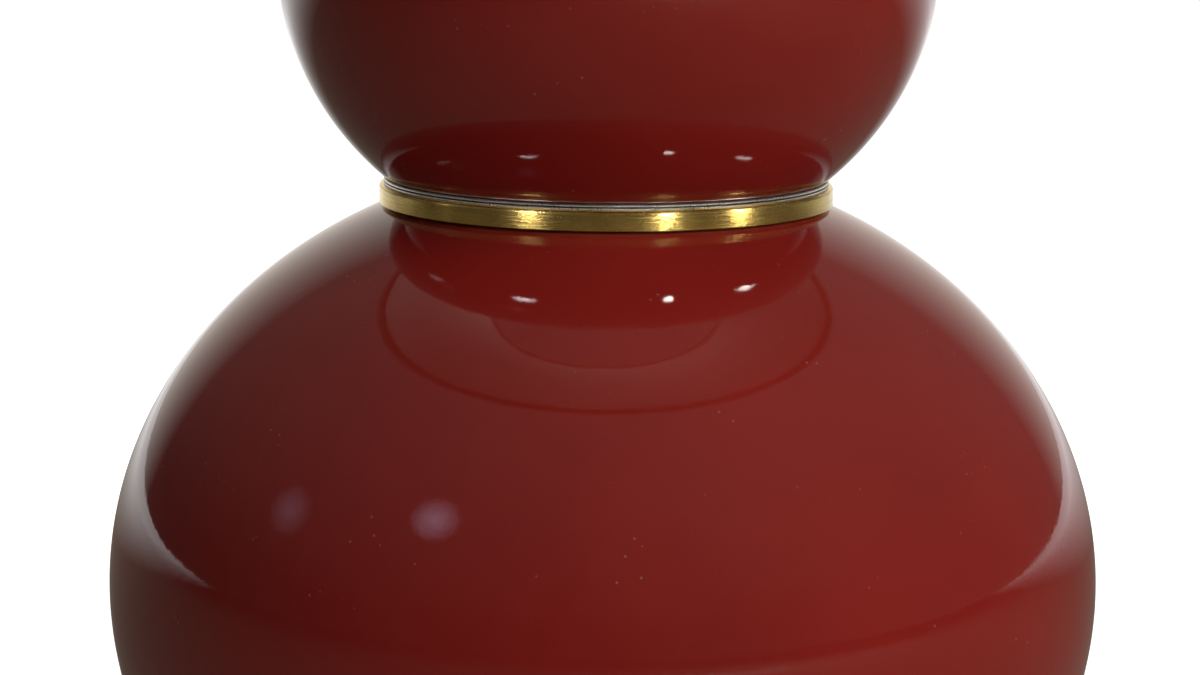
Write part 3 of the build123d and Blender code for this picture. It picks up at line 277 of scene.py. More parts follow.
def brass_for(name, colour, roughness, marks):
    """Lacquered brass with turning marks about the Z axis, faint tarnish and handling wear."""
    made, tree, shader = finish_named(
        name, Metallic=1.0, Coat_Weight=0.25, Coat_Roughness=0.12, Coat_IOR=1.45
    )
    where = object_place(tree)
    parts = add(tree, "ShaderNodeSeparateXYZ", {"Vector": where}).outputs
    radius = math(
        tree,
        "SQRT",
        math(
            tree,
            "ADD",
            math(tree, "MULTIPLY", parts["X"], parts["X"]),
            math(tree, "MULTIPLY", parts["Y"], parts["Y"]),
        ),
    )
    cut = add(tree, "ShaderNodeCombineXYZ", {"X": radius, "Y": parts["Z"]}).outputs[0]
    lines = noise(tree, cut, 2600, 3, 0.6)
    cloud = noise(tree, where, 38, 4, 0.6)
    dull = tuple(c * k for c, k in zip(colour, (0.72, 0.66, 0.55))) + (1,)
    feed(
        tree,
        shader,
        Base_Color=mix(tree, ramp(tree, cloud, 0.42, 0.78), colour + (1,), dull),
        Roughness=math(
            tree,
            "ADD",
            ramp(tree, cloud, 0.3, 0.8, roughness, roughness + 0.14),
            math(tree, "MULTIPLY", lines, 0.08),
        ),
    )
    relief(tree, shader, lines, marks)
    return made


BRASS = (0.78, 0.53, 0.23)
turned_brass = brass_for("turned brass", BRASS, 0.2, 0.00001)
dress(turned_brass, "base_plinth")



def mottled(name, grain, colours, low, high, depth=None, span=0.7, **values):
    """A finish whose colour and roughness follow one noise: its scale, detail, roughness.

    The roughness runs from low to high as the noise goes from 0.3 to the span's end. With
    a depth in metres the same noise also stands in relief.
    """
    made, tree, shader = finish_named(name, **values)
    where = object_place(tree)
    spots = noise(tree, where, *grain)
    feed(
        tree,
        shader,
        Base_Color=mix(tree, spots, *colours),
        Roughness=ramp(tree, spots, 0.3, span, low, high),
    )
    if depth:
        relief(tree, shader, spots, depth)
    return made, tree, shader, where


iron = mottled(
    "black painted casting",
    (900, 5, 0.65),
    ((0.012, 0.012, 0.012, 1), (0.05, 0.048, 0.045, 1)),
    0.45,
    0.75,
    depth=0.00025,
)[0]
dress(iron, "base_weight")

# ---------------------------------------------------------------- rod and cord gland
# A hollow threaded steel rod clamps the whole body between its nut and the socket's cap.
# The gland is a moulded bush that leads the mains cord out at the back.


def height_of(tree, where):
    """The height of a place given as coordinates."""
    return add(tree, "ShaderNodeSeparateXYZ", {"Vector": where}).outputs["Z"]


ZINC = ((0.42, 0.43, 0.44, 1), (0.64, 0.64, 0.62, 1))
half_pitch, thread_share = 0.0005, 0.9
steel, tree, shader, where = mottled(
    "zinc plated steel", (420, 3), ZINC, 0.25, 0.45, Metallic=1.0
)
thread = math(tree, "PINGPONG", height_of(tree, where), half_pitch)
relief(tree, shader, thread, thread_share)
dress(steel, "lamp_rod")

plated, tree, shader, where = mottled(
    "zinc plated hardware", (420, 3), ZINC, 0.22, 0.42, Metallic=1.0
)
relief(tree, shader, noise(tree, where, 1500, 2), 0.00002)
dress(plated, "rod_nut", "rod_washer", "lock_washer", "set_screw")
dress(plated, "terminal_screws", "switch_shaft")

phenolic, tree, shader, where = mottled(
    "moulded phenolic",
    (160, 4, 0.6),
    ((0.006, 0.005, 0.004, 1), (0.03, 0.022, 0.017, 1)),
    0.16,
    0.34,
    span=0.75,
    Specular_IOR_Level=0.5,
)
relief(tree, shader, noise(tree, where, 1300, 2), 0.00003)
dress(phenolic, "cord_gland", "switch_knob", "switch_base", "socket_body", "switch_rotor")

rubber = mottled(
    "grey-black rubber",
    (320, 4),
    ((0.01, 0.01, 0.01, 1), (0.035, 0.034, 0.032, 1)),
    0.6,
    0.85,
    depth=0.00005,
    Specular_IOR_Level=0.3,
)[0]
dress(rubber, "foot_gasket", "lower_waist_gasket", "upper_waist_gasket", "neck_gasket")

# ---------------------------------------------------------------- lower gourd
# The big bulb of the body: slip-cast stoneware 6 mm thick, joined at its widest line,
# in a deep oxblood gloss glaze. It stands on an unglazed foot ring.


def ellipse_run(center_z, half_width, half_height, start, end, step):
    """Points (radius, z) along an ellipse between two angles in radians."""
    count = max(2, ceil(abs(end - start) * half_width / step))
    return [
        (
            half_width * cos(start + (end - start) * i / count),
            center_z + half_height * sin(start + (end - start) * i / count),
        )
        for i in range(count + 1)
    ]


GLAZE_RED = (0.172, 0.0102, 0.0075, 1)
GLAZE_DEEP = (0.142, 0.0078, 0.006, 1)
GLAZE_BREAK = (0.17, 0.036, 0.018, 1)
BISCUIT = (0.55, 0.43, 0.32, 1)
BISCUIT_SHADE = (0.4, 0.3, 0.22, 1)
DUST = (0.42, 0.3, 0.2, 1)


def pits(tree, where, scale, edges, patches, patch_edges):
    """Round dots of this many per metre, kept where a noise of scale and detail is high."""
    dots = add(tree, "ShaderNodeTexVoronoi", {"Vector": where, "Scale": scale})
    return math(
        tree,
        "MULTIPLY",
        ramp(tree, dots.outputs["Distance"], *edges),
        ramp(tree, noise(tree, where, *patches), *patch_edges),
    )


def glaze_for(name, bare_low, bare_high, breaks):
    """Gloss glaze that pools in patches, thins to brown at rims and stops at bare clay.

    Bare clay shows between two heights; each break is a rim's height and its reach.
    """
    glaze_edge = 0.0002
    made, tree, shader = finish_named(name, IOR=1.5)
    where = object_place(tree)
    height = height_of(tree, where)
    pools = ramp(tree, noise(tree, where, 11, 4, 0.55), 0.35, 0.7)
    colour = mix(tree, pools, GLAZE_RED, GLAZE_DEEP)
    # pinholes and dust caught in the glaze
    speck = pits(tree, where, 300, (0.13, 0.06), (60, 1), (0.6, 0.66))
    colour = mix(tree, math(tree, "MULTIPLY", speck, 0.2), colour, DUST)
    for rim_z, reach in breaks:
        away = math(tree, "ABSOLUTE", math(tree, "SUBTRACT", height, rim_z))
        wander = math(tree, "MULTIPLY", noise(tree, where, 120, 2), reach)
        thin = ramp(tree, math(tree, "ADD", away, wander), reach * 1.25, reach * 0.5)
        colour = mix(tree, math(tree, "MULTIPLY", thin, 0.75), colour, GLAZE_BREAK)
    bare = math(
        tree,
        "MULTIPLY",
        ramp(tree, height, bare_low - glaze_edge, bare_low + glaze_edge),
        ramp(tree, height, bare_high + glaze_edge, bare_high - glaze_edge),
    )
    clay = mix(tree, noise(tree, where, 900, 4), BISCUIT, BISCUIT_SHADE)
    rough = ramp(tree, noise(tree, where, 34, 4), 0.3, 0.75, 0.03, 0.07)
    feed(
        tree,
        shader,
        Base_Color=mix(tree, bare, colour, clay),
        Roughness=math(tree, "MAXIMUM", rough, math(tree, "MULTIPLY", bare, 0.85)),
    )
    # orange peel on a slow swell
    peel = math(tree, "MULTIPLY", noise(tree, where, 420, 2), 0.3)
    swell = math(tree, "MULTIPLY", noise(tree, where, 24, 1), 2.0)
    raised = math(tree, "MULTIPLY", speck, 0.25)
    skin = math(tree, "ADD", math(tree, "ADD", peel, swell), raised)
    relief(tree, shader, skin, 0.00004)
    return made


ceramic_wall = 0.006
lower_radius, lower_half_height = 0.145, 0.1235
foot_radius, foot_ring_width, foot_recess = 0.078, 0.015, 0.002
foot_hole_radius, foot_floor, foot_edge_round = 0.008, 0.009, 0.0015
mouth_radius, lower_rim_radius, lip_round = 0.056, 0.064, 0.0006
# a point every so many metres on the outside and in the hollow
skin_step, hollow_step, gourd_turns = 0.0018, 0.006, 256
foot_turn_gap, rim_turn_gap = 0.012, 0.008
bare_foot_height, rim_thinning = 0.0012, 0.0016
foot_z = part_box("lower_gourd_bowl")[0].z
belly_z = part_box("lower_gourd_bowl")[1].z
lower_rim_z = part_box("lower_gourd_shoulder")[1].z
inner_radius, inner_half_height = lower_radius - ceramic_wall, lower_half_height - ceramic_wall
mouth_z = belly_z + inner_half_height * sqrt(1 - (mouth_radius / inner_radius) ** 2)

lower_outline = [(foot_hole_radius, foot_z + foot_floor)]
lower_outline += rounded(
    [
        (foot_hole_radius, foot_z + foot_recess),
        (foot_radius - foot_ring_width, foot_z + foot_recess),
        (foot_radius - foot_ring_width, foot_z),
        (foot_radius, foot_z),
        (foot_radius + foot_edge_round, foot_z + foot_edge_round * 0.54),
    ],
    [0, 0.0005, 0.0008, foot_edge_round, 0],
)[:-1]
lower_outline += ellipse_run(
    belly_z,
    lower_radius,
    lower_half_height,
    -asin((belly_z - foot_z) / lower_half_height) + foot_turn_gap,
    asin((lower_rim_z - belly_z) / lower_half_height) - rim_turn_gap,
    skin_step,
)
lower_outline += rounded(
    [
        lower_outline[-1],
        (lower_rim_radius, lower_rim_z),
        (mouth_radius, lower_rim_z),
        (mouth_radius, mouth_z),
    ],
    [0, lip_round, 0.0005, 0],
)[1:]
lower_outline += ellipse_run(
    belly_z,
    inner_radius,
    inner_half_height,
    asin((mouth_z - belly_z) / inner_half_height),
    -asin((belly_z - foot_z - foot_floor) / inner_half_height),
    hollow_step,
)[1:]
lower_gourd = turned("lower_gourd", lower_outline, gourd_turns)
wear(
    lower_gourd,
    glaze_for(
        "oxblood glaze",
        foot_z - 0.001,
        foot_z + bare_foot_height,
        ((lower_rim_z, rim_thinning),),
    ),
    "base",
    "glaze",
    "lower_gourd_bowl",
    "lower_gourd_shoulder",
)

# ---------------------------------------------------------------- waist ring
# A ring of flat brass stock between the gourds, brushed round its band, with a lip
# turned up and down into both mouths. Its top edge is broken, its band is pitted.

ring_low, ring_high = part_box("waist_ring")
ring_radius, lip_radius, lip_wall, lip_height = 0.066, 0.0557, 0.003, 0.006
band_low = ring_low.z + lip_height
band_high = band_low + 0.0055
band_inner_radius, ring_turns = 0.06, 288


def on_surface(tree, along, across):
    """The piece's UV map, scaled to cycles along the turn and across it per metre."""
    return add(
        tree,
        "ShaderNodeVectorMath",
        {0: add(tree, "ShaderNodeTexCoord").outputs["UV"], 1: (along, across, 1.0)},
        operation="MULTIPLY",
    ).outputs[0]


band, tree, shader = finish_named(
    "brushed band brass",
    Metallic=1.0,
    Anisotropic=0.95,
    Anisotropic_Rotation=0.25,
    Coat_Weight=0.12,
    Coat_Roughness=0.25,
)
where = object_place(tree)
brushed = noise(tree, on_surface(tree, 26, 5200), 1.0, 4, 0.65)
drawn = noise(tree, on_surface(tree, 9, 1500), 1.0, 3, 0.6)
cloud = noise(tree, where, 90, 4, 0.6)
pit = pits(tree, where, 1500, (0.3, 0.12), (260, 2), (0.5, 0.62))
colour = mix(
    tree, ramp(tree, cloud, 0.4, 0.75), (0.72, 0.53, 0.15, 1), (0.5, 0.35, 0.09, 1)
)
colour = mix(tree, math(tree, "MULTIPLY", pit, 0.55), colour, (0.2, 0.12, 0.04, 1))
feed(
    tree,
    shader,
    Base_Color=colour,
    Roughness=math(
        tree,
        "ADD",
        ramp(tree, drawn, 0.3, 0.7, 0.22, 0.3),
        math(tree, "MULTIPLY", pit, 0.12),
    ),
    Tangent=add(tree, "ShaderNodeTangent", direction_type="RADIAL", axis="Z").outputs[0],
)
relief(
    tree,
    shader,
    math(
        tree,
        "SUBTRACT",
        math(tree, "ADD", math(tree, "MULTIPLY", brushed, 0.35), drawn),
        math(tree, "MULTIPLY", pit, 1.2),
    ),
    0.000007,
)
waist_ring = turned(
    "waist_ring",
    rounded(
        [
            (band_inner_radius, band_low),
            (ring_radius, band_low),
            (ring_radius, band_high),
            (lip_radius, band_high),
            (lip_radius, ring_high.z),
            (lip_radius - lip_wall, ring_high.z),
            (lip_radius - lip_wall, ring_low.z),
            (lip_radius, ring_low.z),
            (lip_radius, band_low),
        ],
        [0, 0.0003, 0.0009, 0.0003, 0.0005, 0.0005, 0.0005, 0.0005, 0.0003],
    ),
    ring_turns,
)
wear(waist_ring, band, "base", "ring_brass", "waist_ring")

# ---------------------------------------------------------------- waist washer
# A nickel-plated washer that spreads the upper gourd's weight. Its edge is ground, with
# fine upright ticks, and a shallow line is rolled round the middle of it, with painted
# shade in it.

washer_low, washer_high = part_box("waist_washer")
washer_inner = 0.0558
edge_break, groove_half, groove_depth = 0.00025, 0.00022, 0.0005
groove_z = (washer_low.z + washer_high.z) / 2
nickel, tree, shader = finish_named("ground nickel edge", Metallic=1.0, Anisotropic=0.5)
where = object_place(tree)
ticks = noise(tree, on_surface(tree, 1100, 260), 1.0, 3, 0.6)
stain = noise(tree, where, 60, 4, 0.6)
pit = pits(tree, where, 1300, (0.25, 0.1), (200, 2), (0.5, 0.6))
colour = mix(
    tree, ramp(tree, stain, 0.42, 0.72), (0.84, 0.82, 0.78, 1), (0.5, 0.48, 0.4, 1)
)
# the rolled line is painted dark: painted shade in the groove; the pits darken to the same
# colour
from_line = math(tree, "ABSOLUTE", math(tree, "SUBTRACT", height_of(tree, where), groove_z))
groove_shade = ramp(tree, from_line, groove_half * 1.3, groove_half * 0.7, 0.0, 0.85)
feed(
    tree,
    shader,
    Base_Color=mix(tree, math(tree, "MAXIMUM", pit, groove_shade), colour, (0.1, 0.085, 0.06, 1)),
    Roughness=ramp(tree, ticks, 0.3, 0.7, 0.24, 0.42),
    Tangent=add(tree, "ShaderNodeTangent", direction_type="RADIAL", axis="Z").outputs[0],
)
relief(tree, shader, math(tree, "SUBTRACT", ticks, pit), 0.000014)
waist_washer = turned(
    "waist_washer",
    [
        (washer_inner, washer_low.z),
        (washer_high.x - edge_break, washer_low.z),
        (washer_high.x, washer_low.z + edge_break),
        (washer_high.x, groove_z - groove_half),
        (washer_high.x - groove_depth, groove_z),
        (washer_high.x, groove_z + groove_half),
        (washer_high.x, washer_high.z - edge_break),
        (washer_high.x - edge_break, washer_high.z),
        (washer_inner, washer_high.z),
    ],
    ring_turns,
)
waist_washer.data.shade_flat()
wear(waist_washer, nickel, "base", "nickel", "waist_washer")

# ---------------------------------------------------------------- upper gourd
# The small bulb of the body, cast and glazed in the same way. Its mouth stands on the
# washer, and its short neck carries the brass cap.

upper_radius, upper_half_height, upper_rim_radius = 0.095, 0.0865, 0.0645
neck_radius, neck_blend, neck_lip_round = 0.023, 0.009, 0.001
skin_step, hollow_step, neck_steps = 0.0014, 0.004, 14
unglazed_reach, neck_thinning = 0.0003, 0.003
upper_rim_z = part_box("upper_gourd")[0].z
neck_top_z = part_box("upper_gourd")[1].z
bulge_z = upper_rim_z + upper_half_height * sqrt(1 - (upper_rim_radius / upper_radius) ** 2)
inner_radius, inner_half_height = upper_radius - ceramic_wall, upper_half_height - ceramic_wall
blend_radius = neck_radius + neck_blend
blend_rise = upper_half_height * sqrt(1 - (blend_radius / upper_radius) ** 2)
blend_z = bulge_z + blend_rise
# the neck's curve leaves along the bulge's own slope and ends upright
slope = (blend_radius / upper_radius**2) / (blend_rise / upper_half_height**2)
corner_z = blend_z + neck_blend * slope
upright_z = corner_z + neck_blend
bore_radius = neck_radius - ceramic_wall
bore_z = bulge_z + inner_half_height * sqrt(1 - (bore_radius / inner_radius) ** 2)
mouth_z = bulge_z - inner_half_height * sqrt(1 - (mouth_radius / inner_radius) ** 2)

upper_outline = ellipse_run(
    bulge_z,
    upper_radius,
    upper_half_height,
    -asin((bulge_z - upper_rim_z) / upper_half_height) + rim_turn_gap,
    asin(blend_rise / upper_half_height),
    skin_step,
)
for i in range(1, neck_steps + 1):
    t = i / neck_steps
    upper_outline.append(
        (
            (1 - t) ** 2 * blend_radius + (1 - (1 - t) ** 2) * neck_radius,
            (1 - t) ** 2 * blend_z + 2 * t * (1 - t) * corner_z + t**2 * upright_z,
        )
    )
upper_outline += rounded(
    [
        (neck_radius, upright_z),
        (neck_radius, neck_top_z),
        (bore_radius, neck_top_z),
        (bore_radius, bore_z),
    ],
    [0, neck_lip_round, neck_lip_round, 0],
)[1:]
upper_outline += ellipse_run(
    bulge_z,
    inner_radius,
    inner_half_height,
    asin((bore_z - bulge_z) / inner_half_height),
    asin((mouth_z - bulge_z) / inner_half_height),
    hollow_step,
)[1:]
upper_outline += rounded(
    [
        (mouth_radius, mouth_z),
        (mouth_radius, upper_rim_z),
        (upper_rim_radius, upper_rim_z),
        upper_outline[0],
    ],
    [0, 0.0005, lip_round, 0],
)[1:-1]
upper_gourd = turned("upper_gourd", upper_outline, gourd_turns)
wear(
    upper_gourd,
    glaze_for(
        "oxblood glaze of the small bulb",
        neck_top_z - unglazed_reach,
        neck_top_z + 0.001,
        ((upper_rim_z, rim_thinning), (neck_top_z, neck_thinning)),
    ),
    "base",
    "glaze",
    "upper_gourd",
)

# ---------------------------------------------------------------- cap, check ring and neck
# Spun and turned brass that closes the neck and lifts the socket: a domed cap, a ring
# with knurled looks and a baluster neck, all threaded on the rod.

dress(turned_brass, "vase_cap", "check_ring", "neck_spindle")

# ---------------------------------------------------------------- socket
# A pressed brass cap and shell with a fibre liner, held by a grub screw. The phenolic
# switch with its fluted knob and the contacts sit inside.

spun_brass = brass_for("spun shell brass", BRASS, 0.14, 0.000006)
dress(spun_brass, "socket_cap", "socket_shell")
stamped = brass_for("bright stamped brass", (0.86, 0.62, 0.3), 0.1, 0.000004)
dress(stamped, "screw_shell", "centre_contact")

fibre = mottled(
    "vulcanised fibre",
    (500, 6, 0.7),
    ((0.2, 0.13, 0.08, 1), (0.36, 0.27, 0.18, 1)),
    0.7,
    0.9,
    depth=0.00008,
    Specular_IOR_Level=0.2,
)[0]
dress(fibre, "socket_liner")

# ---------------------------------------------------------------- bulb
# A clear globe with a nickel screw cap, a black glass insulator and four coated
# filament rods on a glass stem. It isn't lit.

cap_pitch, cap_thread_depth = 0.0254 / 7, 0.0004
cap_metal, tree, shader, where = mottled(
    "nickel screw cap",
    (300, 3),
    ((0.66, 0.65, 0.62, 1), (0.82, 0.81, 0.79, 1)),
    0.16,
    0.3,
    Metallic=1.0,
)
turned_by = math(tree, "MULTIPLY", height_of(tree, where), 2 * pi / cap_pitch)
relief(tree, shader, math(tree, "SINE", turned_by), cap_thread_depth)
dress(cap_metal, "bulb_cap", "bulb_tip")

black_glass = mottled(
    "black cap glass",
    (240, 3),
    ((0.008, 0.008, 0.012, 1), (0.03, 0.03, 0.04, 1)),
    0.05,
    0.16,
    IOR=1.52,
)[0]
dress(black_glass, "bulb_insulator")

glass, tree, shader = finish_named("bulb glass", Transmission_Weight=1.0, IOR=1.45)
where = object_place(tree)
feed(tree, shader, Roughness=ramp(tree, noise(tree, where, 80, 3), 0.3, 0.8, 0.0, 0.02))
relief(tree, shader, noise(tree, where, 30, 2), 0.00003)
dress(glass, "bulb_glass", "bulb_stem")

phosphor = mottled(
    "phosphor coating",
    (1800, 3),
    ((0.78, 0.5, 0.1, 1), (0.9, 0.68, 0.25, 1)),
    0.4,
    0.6,
    depth=0.00004,
    Specular_IOR_Level=0.3,
)[0]
dress(phosphor, "filaments")

# ---------------------------------------------------------------- harp
# A bent brass wire with flattened feet in a pressed saddle, locked by two sliding
# sleeves. The swivel stud through its eye carries the shade.

wire_brass, tree, shader = finish_named("drawn brass wire", Metallic=1.0, Coat_Weight=0.2)
where = object_place(tree)
cloud = noise(tree, where, 55, 4, 0.6)
scratch = noise(tree, where, 1500, 3, 0.6)
feed(
    tree,
    shader,
    Base_Color=mix(tree, ramp(tree, cloud, 0.4, 0.75), BRASS + (1,), (0.56, 0.35, 0.13, 1)),
    Roughness=ramp(tree, cloud, 0.3, 0.8, 0.2, 0.38),
)
relief(tree, shader, scratch, 0.00001)
dress(wire_brass, "harp", "harp_saddle", "left_sleeve", "right_sleeve")
dress(turned_brass, "swivel_stud")

# ---------------------------------------------------------------- shade frame
# A brass-plated spider of three arms, spot-welded to the top ring, and a loose bottom
# ring. A white styrene liner is rolled round the two rings.

dress(wire_brass, "shade_spider", "shade_top_ring", "shade_bottom_ring")

arm_count, bead_lumps = 3, 0.0014
# the bead's size and how far in from the ring it lies, in wire radii
bead_size, bead_inset = 1.25, 1.7
weld_tree = bpy.data.node_groups.new("weld beads", "GeometryNodeTree")
for label, kind in (
    ("Geometry", "NodeSocketGeometry"),
    ("Ring radius", "NodeSocketFloat"),
    ("Ring height", "NodeSocketFloat"),
    ("Bead radius", "NodeSocketFloat"),
    ("Metal", "NodeSocketMaterial"),
):
    weld_tree.interface.new_socket(label, in_out="INPUT", socket_type=kind)
weld_tree.interface.new_socket("Geometry", in_out="OUTPUT", socket_type="NodeSocketGeometry")
entry = weld_tree.nodes.new("NodeGroupInput")
ends = add(
    weld_tree,
    "GeometryNodeMeshCircle",
    {"Vertices": arm_count, "Radius": entry.outputs["Ring radius"]},
)
lift = add(weld_tree, "ShaderNodeCombineXYZ", {"Z": entry.outputs["Ring height"]})
placed = add(
    weld_tree,
    "GeometryNodeTransform",
    {
        "Geometry": ends.outputs[0],
        "Translation": lift.outputs[0],
        "Rotation": (0.0, 0.0, pi / 2),
    },
)
bead = add(
    weld_tree,
    "GeometryNodeMeshIcoSphere",
    {"Radius": entry.outputs["Bead radius"], "Subdivisions": 4},
)
beads = add(
    weld_tree,
    "GeometryNodeInstanceOnPoints",
    {"Points": placed.outputs[0], "Instance": bead.outputs[0], "Scale": (1.0, 1.0, 0.9)},
)
real = add(weld_tree, "GeometryNodeRealizeInstances", {"Geometry": beads.outputs[0]})
lumps = add(weld_tree, "ShaderNodeTexNoise", {"Scale": 420.0, "Detail": 1.0})
lumpy = add(
    weld_tree,
    "ShaderNodeVectorMath",
    {0: lumps.outputs["Color"], 1: (0.5, 0.5, 0.5)},
    operation="SUBTRACT",
)
pushed = add(
    weld_tree,
    "ShaderNodeVectorMath",
    {0: lumpy.outputs[0], "Scale": bead_lumps},
    operation="SCALE",
)
rough_bead = add(
    weld_tree,
    "GeometryNodeSetPosition",
    {"Geometry": real.outputs[0], "Offset": pushed.outputs[0]},
)
smooth_bead = add(
    weld_tree, "GeometryNodeSetShadeSmooth", {"Geometry": rough_bead.outputs[0]}, domain="FACE"
)
finished = add(
    weld_tree,
    "GeometryNodeSetMaterial",
    {"Geometry": smooth_bead.outputs[0], "Material": entry.outputs["Metal"]},
)
add(weld_tree, "NodeGroupOutput", {"Geometry": finished.outputs[0]})

ring_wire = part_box("shade_top_ring")
wire_z = (ring_wire[0].z + ring_wire[1].z) / 2
wire_radius = (ring_wire[1].z - ring_wire[0].z) / 2
weld_beads = bpy.data.objects.new("weld_beads", bpy.data.meshes.new("weld_beads"))
bpy.context.scene.collection.objects.link(weld_beads)
grown = weld_beads.modifiers.new("weld beads", "NODES")
grown.node_group = weld_tree
for item in weld_tree.interface.items_tree:
    if item.in_out == "INPUT" and item.name != "Geometry":
        grown[item.identifier] = {
            "Ring radius": ring_wire[1].x - wire_radius * bead_inset,
            "Ring height": wire_z,
            "Bead radius": wire_radius * bead_size,
            "Metal": wire_brass,
        }[item.name]
bpy.context.view_layer.update()
plain_mesh = bpy.data.meshes.new_from_object(
    weld_beads.evaluated_get(bpy.context.evaluated_depsgraph_get())
)
weld_beads.modifiers.clear()
weld_beads.data = plain_mesh
wear(weld_beads, wire_brass, "shade", "brass")

styrene, tree, shader, where = mottled(
    "white styrene",
    (26, 3),
    ((0.84, 0.81, 0.75, 1), (0.9, 0.88, 0.83, 1)),
    0.32,
    0.48,
    Specular_IOR_Level=0.4,
)
relief(tree, shader, noise(tree, where, 160, 3), 0.00004)
dress(styrene, "shade_liner")

# ---------------------------------------------------------------- linen cover
# Natural linen glued flat on the liner: one ring sector of cloth, lapped 15 mm at the
# back seam. Slubs run round it, thicker threads stand up here and there.

shade_top_radius, shade_bottom_radius = 0.185, 0.21
linen_thickness, liner_thickness, tape_thickness = 0.0006, 0.0005, 0.0005
shade_bottom_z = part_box("shade_bottom_trim")[0].z
shade_top_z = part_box("shade_top_trim")[1].z
cover_rows, shade_turns, half_lap = 48, 360, 0.0075
linen_thread, tape_thread = 0.00055, 0.0005


def shade_radius(z):
    """The shade's outside radius at a height."""
    share = (z - shade_bottom_z) / (shade_top_z - shade_bottom_z)
    return shade_bottom_radius + (shade_top_radius - shade_bottom_radius) * share


def cloth_for(name, pale, dark, thread, turn):
    """Plain weave from the piece's own UV map: threads this far apart, with slubs and painted
    shade between the threads.
    """
    made, tree, shader = finish_named(
        name, Roughness=0.9, Sheen_Weight=0.3, Sheen_Roughness=0.5, Specular_IOR_Level=0.15
    )
    spot = on_surface(tree, turn, 1.0)
    parts = add(tree, "ShaderNodeSeparateXYZ", {"Vector": spot}).outputs
    slub = noise(tree, on_surface(tree, turn * 9, 700), 1.0, 3, 0.6)
    rise = noise(tree, on_surface(tree, turn * 700, 9), 1.0, 3, 0.6)
    # threads wander a little
    warp_x = math(tree, "ADD", parts["X"], math(tree, "MULTIPLY", rise, thread * 0.7))
    weft_y = math(tree, "ADD", parts["Y"], math(tree, "MULTIPLY", slub, thread * 0.7))
    warp = math(tree, "SINE", math(tree, "MULTIPLY", warp_x, pi / thread))
    weft = math(tree, "SINE", math(tree, "MULTIPLY", weft_y, pi / thread))
    over = math(tree, "MULTIPLY", warp, weft)
    warp_up = ramp(tree, over, -0.3, 0.3, 0.6, 1)
    weft_up = ramp(tree, over, 0.3, -0.3, 0.6, 1)
    ridge = math(
        tree,
        "MAXIMUM",
        math(tree, "MULTIPLY", math(tree, "ABSOLUTE", warp), warp_up),
        math(tree, "MULTIPLY", math(tree, "ABSOLUTE", weft), weft_up),
    )
    fleck = ramp(tree, math(tree, "MULTIPLY", slub, rise), 0.18, 0.36)
    colour = mix(tree, fleck, dark, pale)
    # the weave's low points between the threads are darker: painted shade
    colour = mix(tree, ramp(tree, ridge, 0.15, 0.75), dark, colour)
    feed(tree, shader, Base_Color=colour)
    high = math(tree, "ADD", ridge, math(tree, "MULTIPLY", math(tree, "ADD", slub, rise), 1.2))
    relief(tree, shader, high, 0.0003)
    return made


mean_turn = pi * (shade_top_radius + shade_bottom_radius)
linen = cloth_for(
    "natural linen", (0.77, 0.7, 0.58, 1), (0.56, 0.48, 0.37, 1), linen_thread, mean_turn
)
skin_low, skin_high = shade_bottom_z + tape_thickness, shade_top_z - tape_thickness
heights = [skin_low + (skin_high - skin_low) * i / cover_rows for i in range(cover_rows + 1)]
outside = [(shade_radius(z), z) for z in heights]
inside = [(radius - linen_thickness, z) for radius, z in reversed(outside)]
shade_linen = turned("shade_linen", outside + inside, shade_turns)
for point in shade_linen.data.vertices:
    place = point.co
    radius = hypot(place.x, place.y)
    if place.y > 0 and abs(place.x) < half_lap and radius > shade_radius(place.z) - 1e-5:
        grow = (radius + linen_thickness * 0.8) / radius
        point.co = (place.x * grow, place.y * grow, place.z)
wear(shade_linen, linen, "shade", "linen", "shade_linen")

# ---------------------------------------------------------------- shade trims
# Strips of the same linen, 12 mm wide, folded over both edges of the shade and glued
# down inside, with a soft fold and a slightly proud edge.

trim_width, trim_fold = 0.012, 0.004
trim_linen = cloth_for(
    "linen tape", (0.75, 0.68, 0.56, 1), (0.52, 0.44, 0.34, 1), tape_thread, mean_turn
)
inner_step = linen_thickness + liner_thickness
for name, edge_z, inward in (
    ("shade_top_trim", shade_top_z, -1),
    ("shade_bottom_trim", shade_bottom_z, 1),
):
    outer_z, fold_z = edge_z + inward * trim_width, edge_z + inward * trim_fold * 0.97
    skin_z = edge_z + inward * tape_thickness
    tape = rounded(
        [
            (shade_radius(outer_z), outer_z),
            (shade_radius(outer_z) + tape_thickness, outer_z),
            (shade_radius(edge_z) + tape_thickness, edge_z),
            (shade_radius(edge_z) - inner_step - tape_thickness, edge_z),
            (shade_radius(fold_z) - inner_step - tape_thickness, fold_z),
            (shade_radius(fold_z) - inner_step, fold_z),
            (shade_radius(skin_z) - inner_step, skin_z),
            (shade_radius(skin_z), skin_z),
        ],
        [0, 0.0002, 0.0006, 0.0006, 0.0002, 0, 0, 0],
    )
    trim = turned(name, tape, shade_turns)
    wear(trim, trim_linen, "shade", "linen", name)

# ---------------------------------------------------------------- finial
# A turned brass knob on a threaded insert that screws down on the stud and clamps the
# spider's hub.

polished = brass_for("polished knob brass", (0.8, 0.56, 0.26), 0.11, 0.000006)
dress(polished, "finial_knob")
dress(turned_brass, "finial_insert")

# ---------------------------------------------------------------- studio
# A pale floor, painted dark in reflections near and in front of the lamp, and a white
# surround that is dim in front of the lamp. Three soft lights carry the shading; six narrow
# beams show only where the piece mirrors them.

scene = bpy.context.scene
scene.view_settings.view_transform = "Standard"

